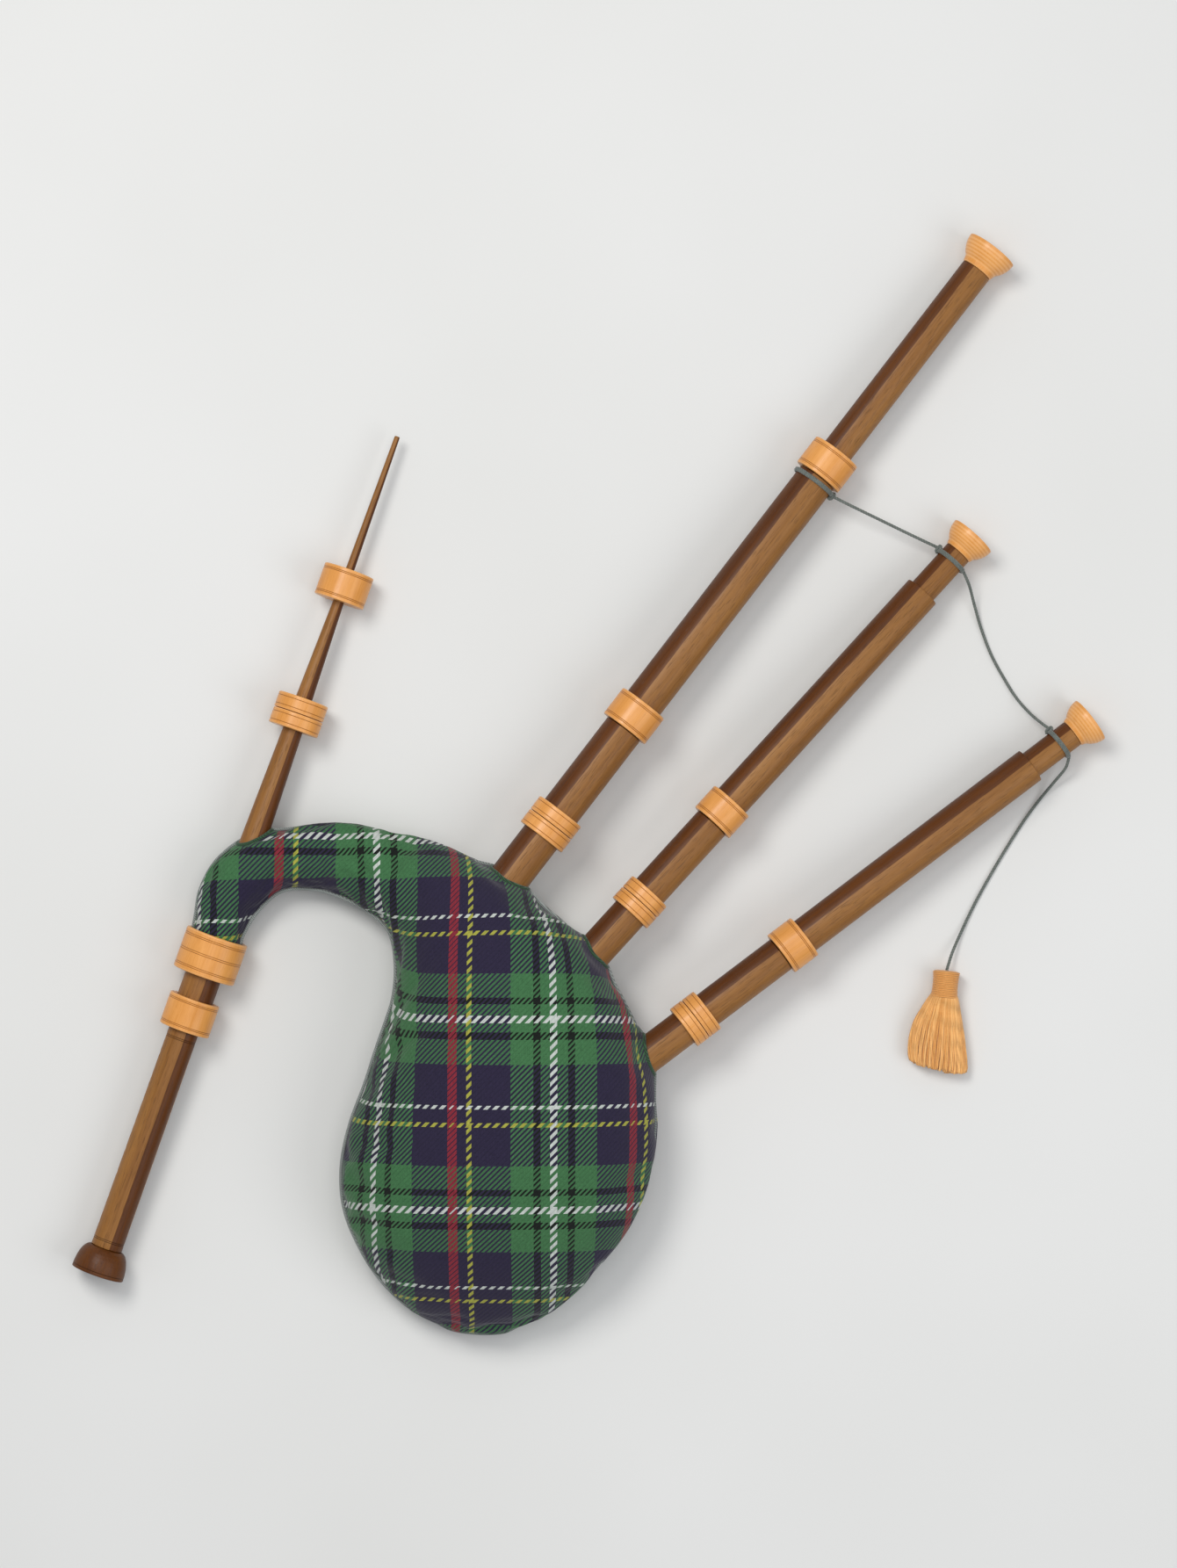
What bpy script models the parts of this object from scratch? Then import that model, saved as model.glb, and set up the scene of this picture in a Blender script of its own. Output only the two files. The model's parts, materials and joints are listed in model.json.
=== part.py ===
"""Great Highland style bagpipes lying on one side: a bag in its fabric cover, three drones, a blowpipe, a chanter,
and the cord that ties the drones together, with its tassel.

Metres, +Z up. The instrument rests on the plane z = 0. Every pipe is turned about the local Z axis of an empty that
stands where the pipe leaves the bag and points along the pipe, so a station on a pipe is its distance from there.
Turned profiles are lists of (station, radius) in millimetres.
"""

import math

import bmesh
import bpy
from mathutils import Matrix, Vector

MM = 0.001

# ---- driving dimensions -------------------------------------------------------------------------------------------

# The whole instrument is moved by this, so that the origin is the middle of its footprint.
CENTRE = Vector((0.0, 0.0007, 0.0))

# Where each pipe's axis starts before that move, its heading in the plane in degrees from +X, and how far it falls per metre.
PIPES = {
    "bass": ((-0.0768, -0.0920, 0.0580), 52.46, 0.0423),
    "tenor_1": ((0.0042, -0.1626, 0.0580), 47.60, 0.0634),
    "tenor_2": ((0.0493, -0.2651, 0.0586), 36.98, 0.0634),
    "blowpipe": ((-0.3220, -0.0560, 0.0360), 70.50, 0.0395),
    "chanter": ((-0.3630, -0.1653, 0.0315), 250.33, 0.0176),
}

SEAT_GAP = 0.4  # mm between a piece and what it is pressed on
SEAM_GAP = 0.6  # mm between two pieces that meet end to end
SEGMENTS = 16  # flats round a turned piece
SMALL_SEGMENTS = 12  # flats round a reed, staple or valve

BASS_WOOD_R = 19.35
BASS_TOP_WOOD_R = 15.3
BASS_RING_R = 24.75
BASS_RING_1 = (51.5, 82.5)
BASS_RING_2 = (182.0, 213.0)
BASS_RING_3 = (486.8, 517.8)
BASS_BELL = (739.0, 764.0)
BASS_BELL_R = 25.5

TENOR_WOOD_R = 17.5
TENOR_NECK_R = 13.5
TENOR_RING_R = 22.25
TENOR_RING_1 = (52.3, 80.7)
TENOR_RING_2 = (169.3, 197.7)
TENOR_STEP = 470.6
TENOR_BELL = (521.8, 543.8)
TENOR_BELL_R = 23.0

PIN_R = 8.6  # tuning pins of the tenors and the bass's upper pin
HEMP = 1.0  # radial thickness of a hemp winding

BLOW_RING_1 = (114.2, 145.8)
BLOW_RING_2 = (245.2, 276.8)
BLOW_RING_R = 24.75
BLOW_STOCK_R = (12.4, 9.8)
BLOW_TUBE_R = (8.15, 5.4)
MOUTHPIECE_R = (4.2, 2.6)
MOUTHPIECE_END = 414.0
VALVE_SEAT = 89.6
VALVE_FLAP_THICKNESS = 1.0
VALVE_FLAP_R = 6.2

COLLAR = (-20.4, 20.4)
COLLAR_R = 30.5
CHANTER_STOCK_R = 17.7
CHANTER_RING = (44.0, 76.0)
CHANTER_RING_R = 24.7
CHANTER_R = (14.6, 15.2)
SOLE = (298.6, 324.6)
SOLE_R = 25.75
FINGER_HOLES = (104, 128, 152, 176, 202, 226, 250)  # stations of the holes on the front
THUMB_HOLE = 96
TONE_HOLE = 276
FINGER_HOLE_R = 3.0
FRONT_SIDE = 1  # the finger holes are on this side along the chanter's X, away from the player

# The bag's outline as chords across it, from the neck's open end to the belly's end: outer edge (x, y), inner edge
# (x, y), height of the top, height of the widest line.
BAG_CHORDS = [
    (-0.3805, -0.1463, -0.3375, -0.1617, 0.0545, 0.0317),
    (-0.3770, -0.1277, -0.3325, -0.1436, 0.0560, 0.0319),
    (-0.3725, -0.1000, -0.3215, -0.1240, 0.0590, 0.0320),
    (-0.3540, -0.0700, -0.3080, -0.1100, 0.0610, 0.0325),
    (-0.3180, -0.0510, -0.2940, -0.1010, 0.0620, 0.0330),
    (-0.2760, -0.0420, -0.2740, -0.0990, 0.0640, 0.0335),
    (-0.2340, -0.0400, -0.2470, -0.1030, 0.0690, 0.0350),
    (-0.1890, -0.0480, -0.2170, -0.1170, 0.0790, 0.0380),
    (-0.1440, -0.0590, -0.1910, -0.1390, 0.0950, 0.0430),
    (-0.0920, -0.0820, -0.1835, -0.1730, 0.1180, 0.0500),
    (-0.0460, -0.1140, -0.1850, -0.2030, 0.1340, 0.0545),
    (-0.0030, -0.1520, -0.1910, -0.2260, 0.1440, 0.0570),
    (0.0330, -0.2040, -0.2010, -0.2560, 0.1500, 0.0580),
    (0.0570, -0.2610, -0.2120, -0.2900, 0.1520, 0.0580),
    (0.0660, -0.3200, -0.2260, -0.3260, 0.1500, 0.0570),
    (0.0600, -0.3730, -0.2350, -0.3660, 0.1430, 0.0560),
    (0.0420, -0.4200, -0.2330, -0.4070, 0.1310, 0.0530),
    (0.0140, -0.4590, -0.2180, -0.4460, 0.1130, 0.0490),
    (-0.0160, -0.4900, -0.1960, -0.4800, 0.0900, 0.0430),
    (-0.0460, -0.5120, -0.1690, -0.5060, 0.0660, 0.0350),
    (-0.0740, -0.5245, -0.1400, -0.5210, 0.0460, 0.0270),
]
BAG_TIP = (-0.1060, -0.5295, 0.0240)
ROUND_STATIONS = 22  # rings along the bag
ROUND_POINTS = 16  # points round each ring
COVER_THICKNESS = 0.0018
HIDE_INSET = 0.0045  # from the cover's outside to the hide's outside
HIDE_THICKNESS = 0.0022

CORD_R = 0.0015
TASSEL_TILT = 185.5  # heading of the tassel's axis in degrees from +Y, clockwise

# Routes of the cord, in the order it is tied: bass to tenor 1, tenor 1 to tenor 2, tenor 2 to the tassel.
CORD_ROUTES = {
    "cord_bass_to_tenor_1": [
        (0.2347, 0.2752, 0.0377),
        (0.2510, 0.2672, 0.0345),
        (0.2780, 0.2544, 0.0292),
        (0.3060, 0.2410, 0.0260),
        (0.3250, 0.2320, 0.0251),
        (0.3363, 0.2267, 0.0256),
    ],
    "cord_tenor_1_to_tenor_2": [
        (0.3622, 0.2033, 0.0256),
        (0.3668, 0.1900, 0.0190),
        (0.3720, 0.1730, 0.0090),
        (0.3790, 0.1500, 0.0032),
        (0.3890, 0.1240, 0.0022),
        (0.4015, 0.1010, 0.0022),
        (0.4134, 0.0820, 0.0050),
        (0.4260, 0.0670, 0.0150),
        (0.4360, 0.0580, 0.0235),
        (0.4423, 0.0532, 0.0265),
    ],
    "cord_to_tassel": [
        (0.4645, 0.0242, 0.0262),
        (0.4592, 0.0150, 0.0205),
        (0.4487, 0.0010, 0.0105),
        (0.4360, -0.0150, 0.0030),
        (0.4205, -0.0360, 0.0018),
        (0.4020, -0.0650, 0.0018),
        (0.3850, -0.0940, 0.0018),
        (0.3715, -0.1190, 0.0018),
        (0.3600, -0.1430, 0.0035),
        (0.3510, -0.1630, 0.0085),
        (0.3456, -0.1790, 0.0125),
    ],
}
CORD_POINT_SPACING = 0.008
TASSEL_TOP = (0.3452, -0.1802, 0.0135)

# ---- materials ----------------------------------------------------------------------------------------------------

MATERIALS = {
    "hide": ((0.62, 0.50, 0.36), 0.75, 0.0),
    "tartan": ((0.055, 0.135, 0.065), 0.9, 0.0),
    "wood": ((0.255, 0.120, 0.040), 0.35, 0.0),
    "dark_wood": ((0.117, 0.041, 0.008), 0.35, 0.0),
    "boxwood": ((0.730, 0.342, 0.098), 0.4, 0.0),
    "hemp": ((0.60, 0.48, 0.28), 0.9, 0.0),
    "cane": ((0.72, 0.56, 0.28), 0.6, 0.0),
    "brass": ((0.80, 0.60, 0.25), 0.3, 1.0),
    "leather": ((0.20, 0.11, 0.06), 0.7, 0.0),
    "cord": ((0.115, 0.135, 0.125), 0.85, 0.0),
    "tassel": ((0.730, 0.342, 0.098), 0.9, 0.0),
}


def make_materials():
    made = {}
    for name, (colour, roughness, metallic) in MATERIALS.items():
        material = bpy.data.materials.new(name)
        material.use_nodes = True
        shader = material.node_tree.nodes["Principled BSDF"]
        shader.inputs["Base Color"].default_value = (*colour, 1.0)
        shader.inputs["Roughness"].default_value = roughness
        shader.inputs["Metallic"].default_value = metallic
        made[name] = material
    return made


# ---- helpers ------------------------------------------------------------------------------------------------------


def clear_scene():
    for obj in list(bpy.data.objects):
        bpy.data.objects.remove(obj, do_unlink=True)


def add_object(name, mesh, material, parent=None, smooth=True):
    """Links a mesh object in its material, under a pipe's empty where it has one."""
    obj = bpy.data.objects.new(name, mesh)
    bpy.context.scene.collection.objects.link(obj)
    obj.data.materials.append(materials[material])
    if smooth:
        mesh.shade_smooth()
        mesh.set_sharp_from_angle(angle=math.radians(35))
    obj.parent = parent
    return obj


def add_cutter(name, mesh, parent=None):
    cutter = bpy.data.objects.new(name, mesh)
    bpy.context.scene.collection.objects.link(cutter)
    cutter.hide_render = True
    cutter.display_type = "WIRE"
    cutter.parent = parent
    return cutter


def cut(obj, cutter):
    boolean = obj.modifiers.new(cutter.name, "BOOLEAN")
    boolean.operation = "DIFFERENCE"
    boolean.solver = "EXACT"
    boolean.object = cutter


def pipe_empty(name):
    """An empty at the start of the pipe's axis, with its Z along the pipe and its X level."""
    start, heading, fall = PIPES[name]
    angle = math.radians(heading)
    along = Vector((math.cos(angle), math.sin(angle), -fall)).normalized()
    level = Vector((along.y, -along.x, 0.0)).normalized()
    turn = Matrix((level, along.cross(level), along)).transposed().to_4x4()
    empty = bpy.data.objects.new(name + "_axis", None)
    bpy.context.scene.collection.objects.link(empty)
    empty.matrix_world = Matrix.Translation(Vector(start) + CENTRE) @ turn
    return empty


def turned_mesh(name, profile, segments=SEGMENTS):
    """A closed profile of (station, radius) in millimetres, turned about local Z."""
    shape = bmesh.new()
    points = [shape.verts.new((radius * MM, 0.0, station * MM)) for station, radius in profile]
    edges = [shape.edges.new((points[i - 1], points[i])) for i in range(len(points))]
    bmesh.ops.spin(
        shape,
        geom=points + edges,
        axis=(0, 0, 1),
        cent=(0, 0, 0),
        angle=math.tau,
        steps=segments,
        use_merge=True,
    )
    bmesh.ops.remove_doubles(shape, verts=shape.verts, dist=1e-6)
    bmesh.ops.dissolve_degenerate(shape, dist=1e-7, edges=shape.edges)
    bmesh.ops.recalc_face_normals(shape, faces=shape.faces)
    mesh = bpy.data.meshes.new(name)
    shape.to_mesh(mesh)
    shape.free()
    return mesh


def turned(name, pipe, profile, material, segments=SEGMENTS):
    return add_object(name, turned_mesh(name, profile, segments), material, axes[pipe])


def sleeve(start, end, inner, outer):
    """The profile of a plain sleeve."""
    return [(start, inner), (start, outer), (end, outer), (end, inner)]


def ring_profile(start, end, bore, outer, rounding=1.0):
    """A sleeve with its two outer corners rounded off."""
    corner = rounding * (1 - math.sqrt(0.5))
    return [
        (start, bore),
        (start, outer - rounding),
        (start + corner, outer - corner),
        (start + rounding, outer),
        (end - rounding, outer),
        (end - corner, outer - corner),
        (end, outer - rounding),
        (end, bore),
    ]


def half_ring_profile(start, end, bore, outer, rounded_end, rounding=1.0):
    """A sleeve with one outer corner rounded off: the one at its start or at its end."""
    corner = rounding * (1 - math.sqrt(0.5))
    if rounded_end == "start":
        outline = [(start, outer - rounding), (start + corner, outer - corner), (start + rounding, outer)]
        return [(start, bore), *outline, (end, outer), (end, bore)]
    outline = [(end - rounding, outer), (end - corner, outer - corner), (end, outer - rounding)]
    return [(start, bore), (start, outer), *outline, (end, bore)]


def smooth_route(points, spacing):
    """Points about `spacing` apart along a centripetal Catmull-Rom curve through the route's own points."""
    route = [Vector(p) for p in points]
    route = [route[0] * 2 - route[1], *route, route[-1] * 2 - route[-2]]
    fine = []
    for i in range(1, len(route) - 2):
        p0, p1, p2, p3 = route[i - 1 : i + 3]
        for step in range(24):
            t = step / 24
            fine.append(
                0.5
                * (
                    2 * p1
                    + (p2 - p0) * t
                    + (2 * p0 - 5 * p1 + 4 * p2 - p3) * t * t
                    + (3 * p1 - p0 - 3 * p2 + p3) * t**3
                )
            )
    fine.append(route[-2])
    lengths = [0.0]
    for before, after in zip(fine, fine[1:]):
        lengths.append(lengths[-1] + (after - before).length)
    count = max(2, round(lengths[-1] / spacing))
    spaced, k = [], 0
    for i in range(count + 1):
        wanted = lengths[-1] * i / count
        while k < len(fine) - 2 and lengths[k + 1] < wanted:
            k += 1
        part = (wanted - lengths[k]) / (lengths[k + 1] - lengths[k])
        spaced.append(fine[k].lerp(fine[k + 1], min(1.0, part)))
    return spaced


# ---- bag ----------------------------------------------------------------------------------------------------------


def bag_stations():
    """Chords spaced evenly along a smooth curve through BAG_CHORDS, as six-number lists."""
    outer = [Vector(c[0:2] + (c[4],)) for c in BAG_CHORDS]
    inner = [Vector(c[2:4] + (c[5],)) for c in BAG_CHORDS]
    stations = []
    count = len(BAG_CHORDS)
    for i in range(ROUND_STATIONS):
        at = i * (count - 1) / (ROUND_STATIONS - 1)
        k = min(int(at), count - 2)
        t = at - k
        ends = []
        for line in (outer, inner):
            p0, p1, p2, p3 = (line[min(max(k + j, 0), count - 1)] for j in (-1, 0, 1, 2))
            ends.append(
                0.5
                * (
                    2 * p1
                    + (p2 - p0) * t
                    + (2 * p0 - 5 * p1 + 4 * p2 - p3) * t * t
                    + (3 * p1 - p0 - 3 * p2 + p3) * t**3
                )
            )
        stations.append(ends)
    return stations


def bag_mesh(name, inset):
    """The bag's outside, open at the neck, drawn in by `inset` along its normals. Its underside lies flat."""
    shape = bmesh.new()
    rings = []
    for outer, inner in bag_stations():
        top, waist = outer.z, inner.z
        middle = (outer.xy + inner.xy) / 2
        half = (outer.xy - inner.xy) / 2
        bottom = max(0.0, 2 * waist - top * 1.02)
        ring = []
        for j in range(ROUND_POINTS):
            angle = math.tau * j / ROUND_POINTS
            across = math.cos(angle)
            up = math.sin(angle)
            place = middle + half * across
            height = waist + (top - waist) * up if up >= 0 else waist + (waist - bottom) * up
            if up < 0 and waist - bottom < top - waist:
                # A resting belly is squashed: its lower side reaches the ground early and lies flat on it.
                height = max(bottom, waist + (waist - bottom) * 1.18 * up)
            ring.append(shape.verts.new((place.x, place.y, height)))
        rings.append(ring)
    for before, after in zip(rings, rings[1:]):
        for j in range(ROUND_POINTS):
            k = (j + 1) % ROUND_POINTS
            shape.faces.new((before[j], before[k], after[k], after[j]))
    tip = shape.verts.new(BAG_TIP)
    for j in range(ROUND_POINTS):
        shape.faces.new((rings[-1][j], rings[-1][(j + 1) % ROUND_POINTS], tip))
    bmesh.ops.recalc_face_normals(shape, faces=shape.faces)
    shape.normal_update()
    if inset:
        moved = [vert.co - vert.normal * inset for vert in shape.verts]
        for vert, place in zip(shape.verts, moved):
            vert.co = place
    for vert in shape.verts:
        vert.co += CENTRE
    mesh = bpy.data.meshes.new(name)
    shape.to_mesh(mesh)
    shape.free()
    return mesh


def add_bag():
    for name, material, inset, thickness in (
        ("bag_cover", "tartan", 0.0, COVER_THICKNESS),
        ("hide_bag", "hide", HIDE_INSET, HIDE_THICKNESS),
    ):
        bag = add_object(name, bag_mesh(name, inset), material)
        shell = bag.modifiers.new("wall", "SOLIDIFY")
        shell.thickness = thickness
        shell.offset = -1.0
        for pipe, radius, start, end in (
            ("bass", BASS_WOOD_R, -25, 50),
            ("tenor_1", TENOR_WOOD_R, -25, 50),
            ("tenor_2", TENOR_WOOD_R, -15, 50),
            ("blowpipe", BLOW_STOCK_R[0], -26, 30),
        ):
            profile = [(start, 0), (start, radius + 2 * SEAT_GAP), (end, radius + 2 * SEAT_GAP), (end, 0)]
            hole = add_cutter(f"{name}_{pipe}_hole", turned_mesh(f"{name}_{pipe}_hole", profile), axes[pipe])
            cut(bag, hole)


# ---- drones -------------------------------------------------------------------------------------------------------


def add_drone_reed(name, pipe, seat, length, radius):
    """A cane reed: a closed tube with a tongue cut into it, seated in the bottom joint and reaching into the bag."""
    bore = radius * 0.5
    end = seat - length
    profile = [(seat, bore), (seat, radius - 0.5), (seat - 10, radius), (end, radius), (end, 0), (end + 4, 0)]
    profile += [(end + 4, bore)]
    reed = turned(name, pipe, profile, "cane", SMALL_SEGMENTS)
    tongue_start = end + 8
    tongue_length = length * 0.55
    for part, low, high, start, stop in (
        ("slit", bore * 0.75, bore * 0.75 + 0.5, tongue_start, tongue_start + tongue_length),
        ("tip", bore * 0.75, radius + 1, tongue_start, tongue_start + 0.5),
    ):
        block = bmesh.new()
        bmesh.ops.create_cube(block, size=1.0)
        size = Vector((radius * 2.4, high - low, stop - start)) * MM
        centre = Vector((0, (high + low) / 2, (start + stop) / 2)) * MM
        bmesh.ops.transform(block, matrix=Matrix.Translation(centre) @ Matrix.Diagonal((*size, 1)), verts=block.verts)
        mesh = bpy.data.meshes.new(f"{name}_{part}")
        block.to_mesh(mesh)
        block.free()
        cut(reed, add_cutter(f"{name}_{part}", mesh, axes[pipe]))


def add_stock(name, pipe, radius, inner_end, outer_end, bore, narrow_bore, bore_step):
    profile = [(inner_end, narrow_bore), (inner_end, radius), (outer_end, radius), (outer_end, bore)]
    profile += [(bore_step, bore), (bore_step, narrow_bore)]
    turned(name, pipe, profile, "wood")


def add_bass():
    seam_1 = sum(BASS_RING_1) / 2
    socket_1 = 12.6
    tenon_r, pin_r, pin_end = 10.8, 9.6, 290
    add_stock("bass_stock", "bass", BASS_WOOD_R, -45, seam_1 - SEAM_GAP / 2, socket_1, 9.0, 8)
    bore = BASS_WOOD_R + SEAT_GAP
    start, end = BASS_RING_1[0], seam_1 - SEAM_GAP / 2
    profile = half_ring_profile(start, end, bore, BASS_RING_R, "start")
    turned("bass_stock_ferrule", "bass", profile, "boxwood")
    start, end = seam_1 + SEAM_GAP / 2, BASS_RING_1[1]
    profile = half_ring_profile(start, end, bore, BASS_RING_R, "end")
    turned("bass_bottom_mount", "bass", profile, "boxwood")

    body_start, body_end = seam_1 + SEAM_GAP / 2, BASS_RING_2[0] - SEAM_GAP / 2
    profile = [(12, 4), (12, tenon_r), (body_start, tenon_r), (body_start, BASS_WOOD_R), (body_end, BASS_WOOD_R)]
    profile += [(body_end, pin_r), (pin_end, pin_r), (pin_end, 4)]
    turned("bass_bottom_joint", "bass", profile, "wood")
    turned("bass_tenon_hemp", "bass", sleeve(22, 60, tenon_r + SEAT_GAP, tenon_r + SEAT_GAP + HEMP), "hemp")
    turned("bass_lower_pin_hemp", "bass", sleeve(240, 275, pin_r + SEAT_GAP, pin_r + SEAT_GAP + HEMP), "hemp")
    add_drone_reed("bass_reed", "bass", 11.4, 82, 4.4)

    middle_start, middle_end = BASS_RING_2[0] + SEAM_GAP / 2, BASS_RING_3[0] - SEAM_GAP / 2
    upper_pin_end = 586
    profile = [(middle_start, 11.6), (middle_start, BASS_WOOD_R), (middle_end, BASS_WOOD_R), (middle_end, PIN_R)]
    profile += [(upper_pin_end, PIN_R), (upper_pin_end, 4.5), (300, 4.5), (300, 11.6)]
    turned("bass_middle_joint", "bass", profile, "wood")
    profile = ring_profile(middle_start, BASS_RING_2[1], bore, BASS_RING_R)
    turned("bass_middle_ferrule", "bass", profile, "boxwood")
    turned("bass_upper_pin_hemp", "bass", sleeve(536, 570, PIN_R + SEAT_GAP, PIN_R + SEAT_GAP + HEMP), "hemp")

    top_start = BASS_RING_3[0] + SEAM_GAP / 2
    shoulder = BASS_BELL[0] - SEAM_GAP / 2
    profile = [(top_start, 10.5), (top_start, BASS_TOP_WOOD_R), (shoulder, BASS_TOP_WOOD_R), (shoulder, 12)]
    profile += [(shoulder + 9, 12), (shoulder + 9, 6), (598, 6), (598, 10.5)]
    turned("bass_top_joint", "bass", profile, "wood")
    profile = ring_profile(top_start, BASS_RING_3[1], BASS_TOP_WOOD_R + SEAT_GAP, BASS_RING_R)
    turned("bass_top_ferrule", "bass", profile, "boxwood")
    add_bell("bass_bell", "bass", BASS_BELL, BASS_BELL_R, 12, BASS_TOP_WOOD_R)


def add_bell(name, pipe, span, radius, spigot_r, wood_r):
    """The turned cap of a drone: a short neck round the wood, half a dome that opens outwards to a sharp flat rim,
    and a flared cavity inside it."""
    start, end = span
    neck_r = wood_r + 0.7
    rim_edge = end - 0.5
    first_angle = math.asin((neck_r + 1.2) / radius)
    profile = [(start, spigot_r + SEAT_GAP), (start, neck_r)]
    steps = 6
    for i in range(steps + 1):
        angle = first_angle + (math.pi / 2 - first_angle) * i / steps
        profile.append((rim_edge - radius * math.cos(angle), radius * math.sin(angle)))
    profile += [(end, radius - 0.4), (end, radius * 0.66), (end - 5, radius * 0.56)]
    profile += [(start + 10, radius * 0.5), (start + 10, spigot_r + SEAT_GAP)]
    turned(name, pipe, profile, "boxwood")


def add_tenor(name):
    seam_1 = sum(TENOR_RING_1) / 2
    socket_1 = 11.4
    tenon_r, pin_end = 9.6, 262
    add_stock(f"{name}_stock", name, TENOR_WOOD_R, -42, seam_1 - SEAM_GAP / 2, socket_1, 8.5, 10)
    bore = TENOR_WOOD_R + SEAT_GAP
    profile = half_ring_profile(TENOR_RING_1[0], seam_1 - SEAM_GAP / 2, bore, TENOR_RING_R, "start")
    turned(f"{name}_stock_ferrule", name, profile, "boxwood")
    profile = half_ring_profile(seam_1 + SEAM_GAP / 2, TENOR_RING_1[1], bore, TENOR_RING_R, "end")
    turned(f"{name}_bottom_mount", name, profile, "boxwood")

    body_start, body_end = seam_1 + SEAM_GAP / 2, TENOR_RING_2[0] - SEAM_GAP / 2
    profile = [(14, 3.8), (14, tenon_r), (body_start, tenon_r), (body_start, TENOR_WOOD_R)]
    profile += [(body_end, TENOR_WOOD_R), (body_end, PIN_R), (pin_end, PIN_R), (pin_end, 3.8)]
    turned(f"{name}_bottom_joint", name, profile, "wood")
    turned(f"{name}_tenon_hemp", name, sleeve(24, 58, tenon_r + SEAT_GAP, tenon_r + SEAT_GAP + HEMP), "hemp")
    turned(f"{name}_pin_hemp", name, sleeve(215, 248, PIN_R + SEAT_GAP, PIN_R + SEAT_GAP + HEMP), "hemp")
    add_drone_reed(f"{name}_reed", name, 13.4, 62, 4.0)

    top_start = TENOR_RING_2[0] + SEAM_GAP / 2
    shoulder = TENOR_BELL[0] - SEAM_GAP / 2
    profile = [(top_start, 10.5), (top_start, TENOR_WOOD_R), (TENOR_STEP, TENOR_WOOD_R), (TENOR_STEP, TENOR_NECK_R)]
    profile += [(shoulder, TENOR_NECK_R), (shoulder, 11), (shoulder + 8, 11), (shoulder + 8, 5), (274, 5)]
    profile += [(274, 10.5)]
    turned(f"{name}_top_joint", name, profile, "wood")
    profile = ring_profile(top_start, TENOR_RING_2[1], bore, TENOR_RING_R)
    turned(f"{name}_top_ferrule", name, profile, "boxwood")
    add_bell(f"{name}_bell", name, TENOR_BELL, TENOR_BELL_R, 11, TENOR_NECK_R)


# ---- blowpipe -----------------------------------------------------------------------------------------------------


def add_blowpipe():
    seam = sum(BLOW_RING_1) / 2
    stock_end = seam - SEAM_GAP / 2
    wide, narrow = BLOW_STOCK_R
    profile = [(-34, 6), (-34, wide), (0, wide), (BLOW_RING_1[0] - 1, narrow), (stock_end, narrow)]
    profile += [(stock_end, 7.7), (72, 7.7), (72, 6)]
    turned("blowpipe_stock", "blowpipe", profile, "wood")
    profile = half_ring_profile(BLOW_RING_1[0], stock_end, narrow + SEAT_GAP, BLOW_RING_R, "start")
    turned("blowpipe_stock_ferrule", "blowpipe", profile, "boxwood")

    tube_start = seam + SEAM_GAP / 2
    tube_wide, tube_narrow = BLOW_TUBE_R
    tube_end = sum(BLOW_RING_2) / 2
    tenon_r, tenon_end = 5.6, 90
    profile = half_ring_profile(tube_start, BLOW_RING_1[1], tube_wide + SEAT_GAP, BLOW_RING_R, "end")
    turned("blowpipe_mount", "blowpipe", profile, "boxwood")
    profile = [(tenon_end, 3.4), (tenon_end, tenon_r), (tube_start, tenon_r), (tube_start, tube_wide)]
    profile += [(BLOW_RING_1[1], tube_wide), (BLOW_RING_2[0] - 1, tube_narrow), (tube_end, tube_narrow)]
    profile += [(tube_end, 3.4)]
    turned("blowpipe_tube", "blowpipe", profile, "wood")
    hemp_r = tenon_r + SEAT_GAP
    turned("blowpipe_tenon_hemp", "blowpipe", sleeve(101, 126, hemp_r, hemp_r + HEMP), "hemp")
    turned("valve_collar", "blowpipe", sleeve(tenon_end, 98, hemp_r, hemp_r + 0.9), "brass")
    profile = [(VALVE_SEAT - VALVE_FLAP_THICKNESS, 0), (VALVE_SEAT - VALVE_FLAP_THICKNESS, VALVE_FLAP_R)]
    profile += [(VALVE_SEAT, VALVE_FLAP_R), (VALVE_SEAT, 0)]
    turned("valve_flap", "blowpipe", profile, "leather", SMALL_SEGMENTS)

    low, high = MOUTHPIECE_R
    base = tube_end + SEAM_GAP
    profile = [(tube_end - 12, 1.7), (tube_end - 12, 2.9), (base, 2.9), (base, tube_narrow)]
    profile += [(BLOW_RING_2[1], tube_narrow), (BLOW_RING_2[1] + 1, low), (MOUTHPIECE_END - 1, high)]
    profile += [(MOUTHPIECE_END, high - 0.4), (MOUTHPIECE_END, 1.2), (MOUTHPIECE_END - 20, 1.7)]
    turned("mouthpiece", "blowpipe", profile, "wood")
    profile = ring_profile(*BLOW_RING_2, tube_narrow + SEAT_GAP, BLOW_RING_R)
    turned("mouthpiece_ferrule", "blowpipe", profile, "boxwood")


# ---- chanter ------------------------------------------------------------------------------------------------------


def add_hole(obj, name, station, radius, side):
    """A hole from one side of the chanter's wall into its bore. side is +1 or -1 along the empty's X."""
    length = 0.030
    hole = bmesh.new()
    bmesh.ops.create_cone(
        hole,
        cap_ends=True,
        segments=10,
        radius1=radius * MM,
        radius2=radius * MM,
        depth=length,
    )
    turn = Matrix.Rotation(math.radians(90), 4, "Y")
    place = Matrix.Translation((side * length / 2, 0, station * MM))
    bmesh.ops.transform(hole, matrix=place @ turn, verts=hole.verts)
    mesh = bpy.data.meshes.new(name)
    hole.to_mesh(mesh)
    hole.free()
    cut(obj, add_cutter(name, mesh, axes["chanter"]))


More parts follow.
